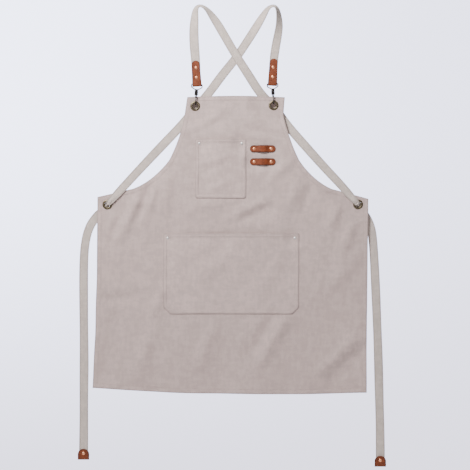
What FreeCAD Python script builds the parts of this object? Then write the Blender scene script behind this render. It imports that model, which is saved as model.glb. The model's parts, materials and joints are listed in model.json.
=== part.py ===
import FreeCAD, Part
import math
import os

import Sketcher
from FreeCAD import Placement, Rotation, Vector

# A canvas cross-back apron that hangs by its two strap loops.
# Frame: +X to the right as it faces the viewer, -Y to the front, +Z up.
# The origin lies halfway between the two pegs that the loops go over.
# The cloth hangs a little askew, so the left and right places differ.

DIMENSIONS = (
    # the panel's outline: "across" is X, "down" is measured below the pegs
    ("cloth_thickness", 1.2), ("bib_left_across", -123.5), ("bib_left_down", 217.5),
    ("bib_right_across", 120.5), ("bib_right_down", 218), ("bib_top_radius", 2660),
    ("neck_left_across", -130.5), ("neck_left_down", 264), ("neck_right_across", 117),
    ("neck_right_down", 262), ("flank_left_across", -168.5), ("flank_left_down", 376),
    ("flank_right_across", 156.5), ("flank_right_down", 376), ("hip_left_across", -260),
    ("hip_left_down", 447), ("hip_right_across", 237), ("hip_right_down", 447),
    ("corner_left_across", -348), ("corner_left_down", 467.5), ("corner_right_across", 329.5),
    ("corner_right_down", 472), ("hem_left_across", -360.5), ("hem_left_down", 945),
    ("hem_right_across", 323.5), ("hem_right_down", 956), ("hem_radius", 6400),
    ("left_side_radius", 7700), ("armhole_upper_radius", 420), ("armhole_lower_radius", 205),
    # eyelets
    ("eyelet_hole_radius", 7), ("eyelet_barrel_wall", 0.6), ("panel_hole_radius", 7.62),
    ("eyelet_flange_radius", 12.5), ("eyelet_flange_height", 1.4), ("washer_height", 1.3),
    ("washer_radius", 12),
    ("top_left_across", -103.5), ("top_left_down", 240.3), ("top_right_across", 92.5),
    ("top_right_down", 238.5), ("side_left_across", -323), ("side_left_down", 486.5),
    ("side_right_across", 303.5), ("side_right_down", 486),
    # pockets
    ("chest_width", 127), ("chest_height", 149), ("chest_across", -40), ("chest_down", 322),
    ("chest_slack", 9), ("chest_corner", 4), ("lower_width", 339), ("lower_height", 201),
    ("lower_across", -13.5), ("lower_down", 558.5), ("lower_slack", 10), ("lower_corner", 17),
    ("pocket_flange", 17), ("pocket_seat", 0.6), ("pocket_rivet_inset", 10.5),
    ("pocket_rivet_drop", 11.5),
    # pen loops
    ("pen_length", 64), ("pen_height", 17.5), ("pen_across", 65.3), ("pen_upper_down", 347),
    ("pen_lower_down", 379.5), ("pen_rivet_spacing", 42), ("pen_leather", 2), ("pen_rise", 6),
    ("pen_arch_half", 15), ("pen_shoulder", 9),
    # rivets
    ("rivet_cap_radius", 4), ("rivet_cap_height", 1.5), ("rivet_post_radius", 1.4),
    ("rivet_hole_radius", 1.45), ("pocket_rivet_cap_radius", 3.2),
    # leather tabs, folded round the eyes of the snap hooks
    ("tab_width", 22), ("tab_leather", 2.3), ("tab_gap", 1.6), ("tab_height", 65),
    ("tab_fold_drop", 1.8), ("tab_top_radius", 10.7), ("tab_rivet_first", 16.8),
    ("tab_rivet_spacing", 24.2), ("tab_left_lean", -3), ("tab_right_lean", 2.5),
    # leather tips on the ties
    ("tip_width", 28.5), ("tip_height", 27), ("tip_leather", 1.9), ("tip_gap", 1.1),
    ("tip_top_radius", 13.5), ("tip_bottom_radius", 3), ("tip_rivet_drop", 11),
    ("tip_left_across", -383), ("tip_left_down", 1097.5), ("tip_right_across", 359.3),
    ("tip_right_down", 1115), ("tie_depth", 2),
    # snap hooks, measured up from the eyelet's middle
    ("snap_left_lean", 4.5), ("snap_right_lean", -3), ("eye_bar_height", 54.5),
    ("eye_bar_half", 13.25), ("eye_wire_radius", 1.25), ("eye_neck_half", 3.6), ("eye_side_drop", 7.5),
    ("eye_drop", 13), ("shank_radius", 1.8), ("shank_head_radius", 3.2),
    ("barrel_radius", 4.5), ("barrel_bottom", 27), ("barrel_top", 40), ("barrel_bore", 1.9),
    ("barrel_cavity", 3.6), ("ring_half", 6), ("ring_bottom", 4.2), ("ring_corner", 4.5),
    ("ring_wire_radius", 1.35), ("nose_top", 13.5), ("gate_pivot_height", 22.5),
    ("gate_bore", 0.9), ("pin_radius", 0.8), ("cheek_inner", 1.6), ("cheek_wall", 0.9),
    ("gate_eye_radius", 1.9), ("gate_half", 1.4), ("gate_radius", 1.25),
    # straps
    ("strap_width", 22), ("strap_thickness", 2), ("peg_across", 89.5), ("loop_radius", 14),
    ("loop_lead", 6), ("tie_joint_gap", 0.4),
    ("tie_left_pivot_across", -380.8), ("tie_left_pivot_down", 592),
    ("tie_right_pivot_across", 341.8), ("tie_right_pivot_down", 582.5), ("tie_pivot_depth", 3),
)

doc = FreeCAD.newDocument("apron")
sheet = doc.addObject("Spreadsheet::Sheet", "Sizes")
for row, (alias, amount) in enumerate(DIMENSIONS, start=1):
    sheet.set("A%d" % row, alias.replace("_", " "))
    sheet.set("B%d" % row, str(amount))
    sheet.setAlias("B%d" % row, alias)
doc.recompute()

pieces = []


def size(alias, factor=1.0):
    """A sheet value, in millimetres or degrees."""
    return float(sheet.get(alias)) * factor


def rule(alias, factor=1.0):
    """The expression that binds a property to a sheet value."""
    return "Sizes.%s * %g" % (alias, factor)


def keep(thing, label):
    """Mark an object as a sub-part; its label names its file."""
    thing.Label = label
    pieces.append(thing)
    return thing


def new_body(name):
    return doc.addObject("PartDesign::Body", name)


def plane_sketch(body, name, role="XZ_Plane"):
    """A sketch on one of the body's own origin planes."""
    sketch = body.newObject("Sketcher::SketchObject", name)
    plane = next(item for item in body.Origin.OriginFeatures if item.Role == role)
    sketch.AttachmentSupport = [(plane, "")]
    sketch.MapMode = "FlatFace"
    return sketch


def pin(sketch, edge, end, place):
    """Fix one end of an edge; place is a pair of (alias, factor) terms."""
    for kind, term in zip(("DistanceX", "DistanceY"), place):
        value = size(*term)
        number = sketch.addConstraint(Sketcher.Constraint(kind, -1, 1, edge, end, value))
        sketch.setExpression("Constraints[%d]" % number, rule(*term))


def bowed_arc(start, end, radius):
    """The shorter arc between two ends, bowed to the left of the way when radius > 0.

    A sketch counts an arc's ends anticlockwise, so the second result says which end starts it.
    """
    chord = end - start
    left = Vector(-chord.y, chord.x, 0).normalize()
    depth = math.sqrt(radius ** 2 - chord.Length ** 2 / 4)
    centre = (start + end) / 2 - left * math.copysign(depth, radius)
    first, last = (end, start) if radius > 0 else (start, end)
    angles = [math.atan2(spot.y - centre.y, spot.x - centre.x) for spot in (first, last)]
    if angles[1] < angles[0]:
        angles[1] += 2 * math.pi
    circle = Part.Circle(centre, Vector(0, 0, 1), abs(radius))
    return Part.ArcOfCircle(circle, *angles), 2 if radius > 0 else 1


def draw_outline(sketch, corners, arcs=None):
    """A closed outline. arcs maps an edge's number to its radius term, signed as its bow."""
    arcs = arcs or {}
    spots = [Vector(size(*x), size(*y), 0) for x, y in corners]
    starts = []
    for number, spot in enumerate(spots):
        following = spots[(number + 1) % len(spots)]
        if number in arcs:
            curve, end = bowed_arc(spot, following, size(*arcs[number]))
            starts.append((sketch.addGeometry(curve, False), end))
        else:
            edge = sketch.addGeometry(Part.LineSegment(spot, following), False)
            starts.append((edge, 1))
    for number, (edge, end) in enumerate(starts):
        pin(sketch, edge, end, corners[number])
        next_edge, next_end = starts[(number + 1) % len(starts)]
        other_end = 3 - end
        sketch.addConstraint(Sketcher.Constraint("Coincident", edge, other_end, next_edge, next_end))
        if number in arcs:
            alias, factor = arcs[number]
            bound = sketch.addConstraint(Sketcher.Constraint("Radius", edge, abs(size(alias, factor))))
            sketch.setExpression("Constraints[%d]" % bound, rule(alias, abs(factor)))


def draw_holes(sketch, places, radius):
    """Round holes at places, all of one radius."""
    for place in places:
        spot = Vector(size(*place[0]), size(*place[1]), 0)
        hole = sketch.addGeometry(Part.Circle(spot, Vector(0, 0, 1), size(radius)), False)
        pin(sketch, hole, 3, place)
        bound = sketch.addConstraint(Sketcher.Constraint("Radius", hole, size(radius)))
        sketch.setExpression("Constraints[%d]" % bound, rule(radius))


def pad(body, sketch, name, length, factor=1.0):
    """Thicken a sketch towards the front, out of its plane."""
    feature = body.newObject("PartDesign::Pad", name)
    feature.Profile = sketch
    feature.setExpression("Length", rule(length, factor))
    return feature


def cut_through(body, sketch, name, length=100):
    """Cut a sketch's shape out of everything in front of its plane, and prove that it cut."""
    doc.recompute()
    before = body.Shape.Volume
    feature = body.newObject("PartDesign::Pocket", name)
    feature.Profile = sketch
    feature.Reversed = True
    feature.Length = length
    doc.recompute()
    if before - body.Shape.Volume < 1e-3:
        raise RuntimeError("%s cuts nothing" % name)
    return feature


def place_at(thing, across=None, depth=None, down=None):
    """Bind a sub-part's place to the sheet: across is X, depth is Y, down is -Z."""
    for axis, term in (("x", across), ("y", depth), ("z", down)):
        if term is not None:
            thing.setExpression(".Placement.Base.%s" % axis, rule(*term))


# ---------------------------------------------------------------- cloth

def corner(name):
    return ((name + "_across", 1), (name + "_down", -1))


def make_panel():
    """Bib and skirt, one piece of canvas, with the holes for its eyelets and rivets."""
    body = new_body("PanelBody")
    outline = plane_sketch(body, "panel_outline")
    names = ("bib_left", "bib_right", "neck_right", "flank_right", "hip_right", "corner_right",
             "hem_right", "hem_left", "corner_left", "hip_left", "flank_left", "neck_left")
    bows = {0: ("bib_top_radius", 1), 2: ("armhole_upper_radius", -1),
            3: ("armhole_lower_radius", -1), 6: ("hem_radius", 1),
            7: ("left_side_radius", -1), 9: ("armhole_lower_radius", -1),
            10: ("armhole_upper_radius", -1)}
    draw_outline(outline, [corner(name) for name in names], bows)
    pad(body, outline, "canvas", "cloth_thickness")
    holes = plane_sketch(body, "eyelet_holes")
    draw_holes(holes, [corner(name) for name in EYELETS], "panel_hole_radius")
    cut_through(body, holes, "eyelet_cut")
    place_at(body, depth=("cloth_thickness", 0.5))
    return keep(body, "main_panel")


EYELETS = ("top_left", "top_right", "side_left", "side_right")


def pocket_section(body, name, width, slack, height, factor):
    """One level of a pocket: flat flanges, and a wall that bows away from the panel."""
    sketch = plane_sketch(body, name, "XY_Plane")
    edge = (width, 0.5)
    doc.recompute()
    half = size(*edge)
    flange = half - size("pocket_flange")
    seat = size("pocket_seat")
    cloth = size("cloth_thickness")
    bow = size(slack) if slack else 0.5
    level = height
    front = [Vector(-half, -seat - cloth, 0), Vector(-flange, -seat - cloth, 0),
             Vector(flange, -seat - cloth, 0), Vector(half, -seat - cloth, 0)]
    back = [Vector(half, -seat, 0), Vector(flange, -seat, 0),
            Vector(-flange, -seat, 0), Vector(-half, -seat, 0)]
    curves = [Part.LineSegment(front[0], front[1]),
              Part.Arc(front[1], Vector(0, -seat - cloth - bow, 0), front[2]),
              Part.LineSegment(front[2], front[3]),
              Part.LineSegment(front[3], back[0]),
              Part.LineSegment(back[0], back[1]),
              Part.Arc(back[1], Vector(0, -seat - bow, 0), back[2]),
              Part.LineSegment(back[2], back[3]),
              Part.LineSegment(back[3], front[0])]
    for curve in curves:
        sketch.addGeometry(curve, False)
    sketch.AttachmentOffset = Placement(Vector(0, 0, 0), Rotation())
    sketch.setExpression("AttachmentOffset.Base.z", rule(level, factor))
    return sketch


def make_pocket(prefix, label):
    """A patch pocket: sewn flat at its sides and foot, slack at its mouth."""
    body = new_body(label + "_body")
    mouth = pocket_section(body, prefix + "_mouth", prefix + "_width", prefix + "_slack",
                           prefix + "_height", 0)
    foot = pocket_section(body, prefix + "_foot", prefix + "_width", None, prefix + "_height", -1)
    loft = body.newObject("PartDesign::AdditiveLoft", prefix + "_wall")
    loft.Profile = mouth
    loft.Sections = [foot]
    loft.Ruled = True
    corners = plane_sketch(body, prefix + "_corners")
    width = (prefix + "_width", 0.5)
    for side in (-1, 1):
        half = size(*width) * side
        low = -size(prefix + "_height")
        cut = size(prefix + "_corner")
        beyond = 2 * side
        tips = [Vector(half - cut * side, low, 0), Vector(half, low + cut, 0),
                Vector(half + beyond, low + cut, 0), Vector(half + beyond, low - 2, 0),
                Vector(half - cut * side, low - 2, 0)]
        for start, end in zip(tips, tips[1:] + tips[:1]):
            corners.addGeometry(Part.LineSegment(start, end), False)
    cut_through(body, corners, prefix + "_corner_cut")
    place_at(body, (prefix + "_across", 1), None, (prefix + "_down", -1))
    return keep(body, label)


# ---------------------------------------------------------------- eyelets and rivets

def turned(body, name, profile, arcs=None):
    """A turned piece about the Y axis; the profile's x is the radius, its y is the depth."""
    sketch = plane_sketch(body, name + "_profile", "XY_Plane")
    points = [Vector(x, y, 0) for x, y in profile]
    for number, start in enumerate(points):
        end = points[(number + 1) % len(points)]
        if arcs and number in arcs:
            crown = Vector(arcs[number][0], arcs[number][1], 0)
            sketch.addGeometry(Part.Arc(start, crown, end), False)
        else:
            sketch.addGeometry(Part.LineSegment(start, end), False)
    feature = body.newObject("PartDesign::Revolution", name)
    feature.Profile = sketch
    feature.ReferenceAxis = (sketch, ["V_Axis"])
    feature.Angle = 360
    return feature


def make_eyelet(where):
    """A rolled brass eyelet: barrel through the cloth and a domed flange in front."""
    body = new_body("eyelet_%s_body" % where)
    bore = size("eyelet_hole_radius")
    wall = size("eyelet_barrel_wall")
    rim = size("eyelet_flange_radius")
    rise = size("eyelet_flange_height")
    face = -size("cloth_thickness") / 2 - 0.05
    back = size("cloth_thickness") / 2 + 0.9
    crown_radius = (bore + rim) / 2 - 0.6
    profile = [(bore, back), (bore, face - 0.4), (crown_radius, face - rise),
               (rim, face - 0.25), (rim, face), (bore + wall, face), (bore + wall, back)]
    crowns = {1: (bore + 0.75, face - rise + 0.2), 2: (rim - 1.6, face - rise + 0.25)}
    turned(body, "eyelet_%s_turn" % where, profile, crowns)
    place_at(body, (where + "_across", 1), None, (where + "_down", -1))
    return keep(body, "eyelet_" + where)


def make_washer(where):
    """The toothless washer behind the cloth, over which the barrel is rolled."""
    body = new_body("washer_%s_body" % where)
    bore = size("eyelet_hole_radius") + size("eyelet_barrel_wall") + 0.02
    rim = size("washer_radius")
    face = size("cloth_thickness") / 2 + 0.02
    rise = size("washer_height")
    profile = [(bore, face), (rim, face), (rim, face + 0.4), (bore + 1.6, face + rise),
               (bore, face + rise)]
    crowns = {2: (rim - 1.4, face + rise - 0.15)}
    turned(body, "washer_%s_turn" % where, profile, crowns)
    place_at(body, (where + "_across", 1), None, (where + "_down", -1))
    return keep(body, "washer_" + where)


def rivet_solid(front, back, cap_alias="rivet_cap_radius"):
    """A double-cap rivet whose caps bear on the faces at depths front and back."""
    cap = size(cap_alias)
    post = size("rivet_post_radius")
    rise = size("rivet_cap_height")
    edge = 0.3
    flat = cap * 0.2
    outer = [Vector(flat, front - rise, 0), Vector(cap * 0.68, front - rise * 0.8, 0),
             Vector(cap, front - edge, 0)]
    inner = [Vector(cap * 0.85, back + edge, 0), Vector(cap * 0.55, back + rise * 0.58, 0),
             Vector(flat, back + rise * 0.7, 0)]
    knots = [outer[2], Vector(cap, front, 0), Vector(post, front, 0), Vector(post, back, 0),
             Vector(cap * 0.85, back, 0), inner[0]]
    ends = [inner[2], Vector(0, inner[2].y, 0), Vector(0, outer[0].y, 0), outer[0]]
    edges = [Part.Arc(*outer).toShape()]
    edges += [Part.makeLine(start, end) for start, end in zip(knots, knots[1:])]
    edges.append(Part.Arc(*inner).toShape())
    edges += [Part.makeLine(start, end) for start, end in zip(ends, ends[1:])]
    face = Part.Face(Part.Wire(edges))
    return face.revolve(Vector(0, 0, 0), Vector(0, 1, 0), 360)


def rivets(label, places, front, back, cap_alias="rivet_cap_radius"):
    """Identical rivets at (x, z) places, as one node of separate solids."""
    solids = []
    for across, height in places:
        solid = rivet_solid(front, back, cap_alias)
        solid.translate(Vector(across, 0, height))
        solids.append(solid)
    thing = doc.addObject("Part::Feature", label + "_solids")
    thing.Shape = Part.Compound(solids)
    return keep(thing, label)


# ---------------------------------------------------------------- leather

def fold_section(leather, gap, height, bottom):
    """The U of a leather strip folded over, in the YZ plane, open at the top."""
    outer = gap + leather
    base = bottom + outer
    edges = [Part.makeLine(Vector(0, -outer, height), Vector(0, -outer, base)),
             Part.Arc(Vector(0, -outer, base), Vector(0, 0, bottom), Vector(0, outer, base)).toShape(),
             Part.makeLine(Vector(0, outer, base), Vector(0, outer, height)),
             Part.makeLine(Vector(0, outer, height), Vector(0, gap, height)),
             Part.makeLine(Vector(0, gap, height), Vector(0, gap, base)),
             Part.Arc(Vector(0, gap, base), Vector(0, 0, base - gap), Vector(0, -gap, base)).toShape(),
             Part.makeLine(Vector(0, -gap, base), Vector(0, -gap, height)),
             Part.makeLine(Vector(0, -gap, height), Vector(0, -outer, height))]
    return Part.Face(Part.Wire(edges))


def front_outline(width, low, high, top_radius, bottom_radius):
    """A plate in the XZ plane with rounded corners, as a prism through the depth."""
    plate = Part.makeBox(width, 40, high - low, Vector(-width / 2, -20, low))
    tops = []
    feet = []
    for edge in plate.Edges:
        middle = edge.CenterOfMass
        if abs(middle.y) < 1e-6:
            (tops if middle.z > (low + high) / 2 else feet).append(edge)
    plate = plate.makeFillet(top_radius, tops)
    if bottom_radius:
        feet = [edge for edge in plate.Edges
                if abs(edge.CenterOfMass.y) < 1e-6 and abs(edge.CenterOfMass.z - low) < 1e-6]
        plate = plate.makeFillet(bottom_radius, feet)
    return plate


def folded_leather(width, leather, gap, low, high, top_radius, bottom_radius, holes):
    """Leather folded at its foot, rounded at its top, with holes at the given heights."""
    strip = fold_section(leather, gap, high, low).extrude(Vector(width, 0, 0))
    strip.translate(Vector(-width / 2, 0, 0))
    strip = strip.common(front_outline(width, low, high, top_radius, bottom_radius))
    for height in holes:
        strip = strip.cut(hole_tool(0, height))
    return strip


def hole_tool(across, height, radius=None):
    """A cylinder along the depth that cuts one rivet hole."""
    radius = radius or size("rivet_hole_radius")
    return Part.makeCylinder(radius, 60, Vector(across, -30, height), Vector(0, 1, 0))


def bar_centre(side):
    """Where the eye's bar lies: up the leaning snap hook from its eyelet."""
    lean = math.radians(size("snap_%s_lean" % side))
    rise = size("eye_bar_height")
    return Vector(size("top_%s_across" % side) + rise * math.sin(lean), 0,
                  -size("top_%s_down" % side) + rise * math.cos(lean))


def lean_placement(spot, degrees):
    return Placement(spot, Rotation(Vector(0, 1, 0), degrees))


def tab_rivet_heights():
    first = size("tab_rivet_first")
    return first, first + size("tab_rivet_spacing")


def make_tab(side):
    """A leather tab: two layers and the fold that holds the snap hook's eye."""
    low = -size("tab_fold_drop") - size("tab_gap") - size("tab_leather")
    shape = folded_leather(size("tab_width"), size("tab_leather"), size("tab_gap"), low,
                           low + size("tab_height"), size("tab_top_radius"), 0,
                           tab_rivet_heights())
    thing = doc.addObject("Part::Feature", "tab_%s_leather" % side)
    thing.Shape = shape
    thing.Placement = lean_placement(bar_centre(side), size("tab_%s_lean" % side))
    keep(thing, "leather_tab_" + side)
    bearing = size("tab_gap") + size("tab_leather")
    pair = rivets("tab_rivets_" + side, [(0, height) for height in tab_rivet_heights()],
                  -bearing, bearing)
    pair.Placement = thing.Placement
    return thing


def make_tip(side):
    """The leather tip of a tie, folded at its foot, with its one rivet."""
    high = -size("tip_%s_down" % side)
    low = high - size("tip_height")
    hole = high - size("tip_rivet_drop")
    shape = folded_leather(size("tip_width"), size("tip_leather"), size("tip_gap"), low, high,
                           size("tip_top_radius"), size("tip_bottom_radius"), (hole,))
    thing = doc.addObject("Part::Feature", "tip_%s_leather" % side)
    thing.Shape = shape
    spot = Vector(size("tip_%s_across" % side), size("tie_depth"), 0)
    thing.Placement = Placement(spot, Rotation())
    keep(thing, "tie_tip_" + side)
    bearing = size("tip_gap") + size("tip_leather")
    rivet = rivets("tie_tip_rivet_" + side, [(0, hole)], -bearing, bearing)
    rivet.Placement = thing.Placement
    return thing


def make_pen_loop(which):
    """A leather strip riveted at both ends and arched off the bib, for pens or a towel."""
    body = new_body("pen_%s_body" % which)
    profile = plane_sketch(body, "pen_%s_bow" % which, "XY_Plane")
    seat = -size("pocket_seat")
    leather = size("pen_leather")
    rise = size("pen_rise")
    half = size("pen_length") / 2
    flat = size("pen_arch_half")
    shoulder = size("pen_shoulder")
    inner = [(-half, seat), (-flat, seat), (-shoulder, seat - rise), (shoulder, seat - rise),
             (flat, seat), (half, seat)]
    outer = [(half, seat - leather), (flat + leather * 0.8, seat - leather),
             (shoulder + leather * 0.5, seat - rise - leather),
             (-shoulder - leather * 0.5, seat - rise - leather),
             (-flat - leather * 0.8, seat - leather), (-half, seat - leather)]
    points = [Vector(x, y, 0) for x, y in inner + outer]
    for start, end in zip(points, points[1:] + points[:1]):
        profile.addGeometry(Part.LineSegment(start, end), False)
    strip = pad(body, profile, "pen_%s_strip" % which, "pen_height")
    doc.recompute()
    ends = ["Edge%d" % (number + 1) for number, edge in enumerate(body.Shape.Edges)
            if abs(abs(edge.CenterOfMass.x) - half) < 1e-6
            and abs(edge.CenterOfMass.y - (seat - leather / 2)) < 1e-6]
    rounding = body.newObject("PartDesign::Fillet", "pen_%s_ends" % which)
    rounding.Base = (strip, ends)
    rounding.Radius = size("pen_height") * 0.49
    holes = plane_sketch(body, "pen_%s_holes" % which)
    places = [(("pen_rivet_spacing", turn), ("pen_height", 0.5)) for turn in (-0.5, 0.5)]
    draw_holes(holes, places, "rivet_hole_radius")
    cut_through(body, holes, "pen_%s_hole_cut" % which)
    body.setExpression(".Placement.Base.x", rule("pen_across"))
    body.setExpression(".Placement.Base.z",
                       "-Sizes.pen_%s_down - Sizes.pen_height / 2" % which)
    keep(body, "pen_loop_" + which)
    centre = size("pen_across")
    reach = size("pen_rivet_spacing") / 2
    level = -size("pen_%s_down" % which)
    return rivets("pen_loop_rivets_" + which, [(centre - reach, level), (centre + reach, level)],
                  seat - leather, -seat)


# ---------------------------------------------------------------- snap hooks

def rounded_wire(points, radii, closed=False):
    """Straight runs joined by tangent arcs; radii maps a point's number to its radius."""
    count = len(points)
    edges = []
    leaving = None if closed else points[0]
    numbers = range(count) if closed else range(1, count - 1)
    joins = []
    for number in numbers:
        before = points[number - 1]
        here = points[number]
        after = points[(number + 1) % count]
        way_in = (here - before).normalize()
        way_out = (after - here).normalize()
        turn = way_in.getAngle(way_out)
        reach = radii[number] * math.tan(turn / 2)
        start = here - way_in * reach
        end = here + way_out * reach
        bisector = (way_out - way_in).normalize()
        centre = here + bisector * (radii[number] / math.cos(turn / 2))
        crown = centre + (here - centre).normalize() * radii[number]
        joins.append((start, crown, end))
    if closed:
        leaving = joins[-1][2]
    for start, crown, end in joins:
        if leaving.distanceToPoint(start) > 1e-6:
            edges.append(Part.makeLine(leaving, start))
        edges.append(Part.Arc(start, crown, end).toShape())
        leaving = end
    if not closed:
        edges.append(Part.makeLine(leaving, points[-1]))
    return Part.Wire(edges)


def round_bar(path, radius):
    """A round bar along a path."""
    start = path.Edges[0].valueAt(path.Edges[0].FirstParameter)
    way = path.Edges[0].tangentAt(path.Edges[0].FirstParameter)
    section = Part.Wire(Part.makeCircle(radius, start, way))
    return path.makePipeShell([section], True, False)


def make_eye():
    """The trapezoid eye and the riveted shank that turns in the hook's barrel."""
    bar = size("eye_bar_height")
    half = size("eye_bar_half")
    neck = size("eye_neck_half")
    side = bar - size("eye_side_drop")
    low = bar - size("eye_drop")
    points = [Vector(0, 0, bar), Vector(half, 0, bar), Vector(half, 0, side), Vector(neck, 0, low),
              Vector(-neck, 0, low), Vector(-half, 0, side), Vector(-half, 0, bar)]
    radii = {1: 1.6, 2: 2, 3: 2, 4: 2, 5: 2, 6: 1.6}
    loop = rounded_wire(points + [Vector(-0.01, 0, bar)], radii)
    ring = round_bar(loop, size("eye_wire_radius"))
    shank = size("shank_radius")
    head = size("shank_head_radius")
    ceiling = size("barrel_top") - 4
    stem = Part.makeCylinder(shank, low - ceiling + 0.6, Vector(0, 0, ceiling - 0.6))
    knob = Part.makeCylinder(head, 2, Vector(0, 0, ceiling - 2.15))
    collar = Part.makeCone(3.4, 2.6, low - size("barrel_top") - 0.3 + 0.6,
                           Vector(0, 0, size("barrel_top") + 0.3))
    return ring.fuse([stem, knob, collar]).removeSplitter()


def make_hook():
    """Barrel, ring and nose of a snap hook, in the plane across the cloth."""
    radius = size("barrel_radius")
    low = size("barrel_bottom")
    high = size("barrel_top")
    barrel = Part.makeCylinder(radius, high - low, Vector(0, 0, low))
    barrel = barrel.makeFillet(0.8, [edge for edge in barrel.Edges if len(edge.Vertexes) == 1])
    groove = Part.makeTorus(radius + 0.35, 0.9, Vector(0, 0, high - 2.6), Vector(0, 0, 1))
    barrel = barrel.cut(groove)
    cavity = Part.makeCylinder(size("barrel_cavity"), high - 4 - low - 4, Vector(0, 0, low + 4))
    bore = Part.makeCylinder(size("barrel_bore"), 10, Vector(0, 0, high - 5))
    half = size("ring_half")
    base = size("ring_bottom")
    bend = size("ring_corner")
    points = [Vector(0, 0.5, low + 1.2), Vector(0, 0.9, low - 0.6), Vector(0, half, low - 2.2),
              Vector(0, half, base), Vector(0, -half, base), Vector(0, -half, size("nose_top"))]
    arm = round_bar(rounded_wire(points, {1: 1.2, 2: 2.4, 3: bend, 4: bend}),
                    size("ring_wire_radius"))
    nose = Part.makeSphere(size("ring_wire_radius"), points[-1])
    inner = size("cheek_inner")
    wall = size("cheek_wall")
    pivot = size("gate_pivot_height")
    cheek_parts = []
    for side in (-1, 1):
        start = inner if side > 0 else -inner - wall
        outline = Part.makePolygon([Vector(start, -0.5, low + 2), Vector(start, -3.6, low + 2),
                                    Vector(start, -half - 1.6, pivot + 1.4),
                                    Vector(start, -half - 1.6, pivot - 1.6),
                                    Vector(start, -half + 1.6, pivot - 1.6),
                                    Vector(start, -1.2, low - 0.2), Vector(start, -0.5, low + 2)])
        cheek = Part.Face(outline).extrude(Vector(wall, 0, 0))
        hole = Part.makeCylinder(size("pin_radius"), 20, Vector(-10, -half, pivot), Vector(1, 0, 0))
        cheek_parts.append(cheek.cut(hole))
    body = barrel.fuse([arm, nose] + cheek_parts)
    return body.cut(Part.Compound([cavity, bore])).removeSplitter()


def make_gate():
    """The sprung gate that closes the hook between its nose and its barrel."""
    half = size("ring_half")
    pivot = size("gate_pivot_height")
    width = size("gate_half")
    tip = size("nose_top") + size("ring_wire_radius") + 0.35
    eye = Part.makeCylinder(size("gate_eye_radius"), 2 * width, Vector(-width, -half, pivot),
                            Vector(1, 0, 0))
    slot = Part.makeCylinder(size("gate_eye_radius") + 1, 1.7, Vector(-0.85, -half, pivot),
                             Vector(1, 0, 0))
    lever = Part.makeCylinder(size("gate_radius"), pivot - tip - 1, Vector(0, -half, tip))
    thumb = Part.makeCylinder(1.5, 2.2, Vector(0, -half - 1, tip + 1.8), Vector(0, -1, 0))
    thumb = thumb.makeFillet(0.5, [edge for edge in thumb.Edges if len(edge.Vertexes) == 1
                                   and edge.CenterOfMass.y < -half - 2])
    bore = Part.makeCylinder(size("gate_bore"), 20, Vector(-10, -half, pivot), Vector(1, 0, 0))
    low_box = Part.makeBox(2 * width, 2.2, 1.4, Vector(-width, -half - 1.1, pivot - 3.2))
    ears = eye.fuse(low_box).cut(slot)
    return ears.fuse([lever.cut(slot), thumb, low_box.cut(slot)]).cut(bore).removeSplitter()


def make_gate_pin():
    reach = size("cheek_inner") + size("cheek_wall")
    pin_shape = Part.makeCylinder(size("pin_radius"), 2 * reach + 0.4,
                                  Vector(-reach - 0.2, -size("ring_half"),
                                         size("gate_pivot_height")), Vector(1, 0, 0))
    return pin_shape


def make_gate_spring():
    """The torsion spring wound on the gate's pin, between the gate's ears."""
    turns = 3
    pitch = 0.46
    wire = 0.17
    coil = size("pin_radius") + 0.35
    helix = Part.makeHelix(pitch, turns * pitch, coil)
    section = Part.Wire(Part.makeCircle(wire, Vector(coil, 0, 0), Vector(0, 1, 0)))
    spring = Part.Wire(helix.Edges).makePipeShell([section], True, True)
    turn = Placement(Vector(-turns * pitch / 2, -size("ring_half"), size("gate_pivot_height")),
                     Rotation(Vector(0, 1, 0), 90))
    spring.Placement = turn
    return spring


def make_snap(side):
    """All the pieces of one snap hook, leaning as it hangs, about its eyelet's middle."""
    spot = Vector(size("top_%s_across" % side), 0, -size("top_%s_down" % side))
    lean = lean_placement(spot, size("snap_%s_lean" % side))
    makers = (("snap_eye", make_eye), ("hook_body", make_hook), ("hook_gate", make_gate),
              ("gate_pin", make_gate_pin), ("gate_spring", make_gate_spring))
    for name, maker in makers:
        thing = doc.addObject("Part::Feature", "%s_%s_solid" % (name, side))
        shape = maker()
        shape.Placement = lean.multiply(shape.Placement)
        thing.Shape = shape
        keep(thing, "%s_%s" % (name, side))


# ---------------------------------------------------------------- straps

# Each route point: x, y, z, width, thickness, and twist in degrees.
# Twist 0 shows the flat side to the front, 90 shows the strap edge on.
STRAP_FROM_LEFT = (
    (-99.5, 0, -180, 19, 2.8, 0), (-102.2, 0, -129, 21, 2.6, 0), (-105.5, 0, -95, 24, 2, 0),
    (-107.2, 0, -60, 24, 2, 12), (-106, 0, -28, 22, 2, 60), (-102.2, 0, 14, 22, 2, 90),
    (-80.4, 0, 14, 22, 2, 90), (-53, 0, -26, 22, 2, 42), (-33.5, -1.5, -59, 22, 2, 3),
    (0, -1.8, -117, 22, 2, 0), (27.5, 0, -159, 22, 2, 0), (61, 7, -212, 22, 2, 0),
    (94.5, 12.8, -246, 22, 2, 0), (124.5, 7.5, -288, 22, 2, 0), (170, 3, -338, 22, 2, 0),
    (217, 0.5, -391, 22, 2, 0), (256, -2.6, -432.5, 21.5, 2, 0), (285, -3.8, -465, 17, 2.4, 0),
    (301.7, -5.2, -484, 11, 3.2, 0), (305.3, 5.2, -488, 11, 3.2, 0),
    (315.5, 4.6, -502, 17, 2.4, 0), (328, 4.2, -523, 21.5, 2, 0), (337.6, 3.6, -549, 22, 2, 0),
    (341.8, 3, -582.5, 22, 2, 0))
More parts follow.
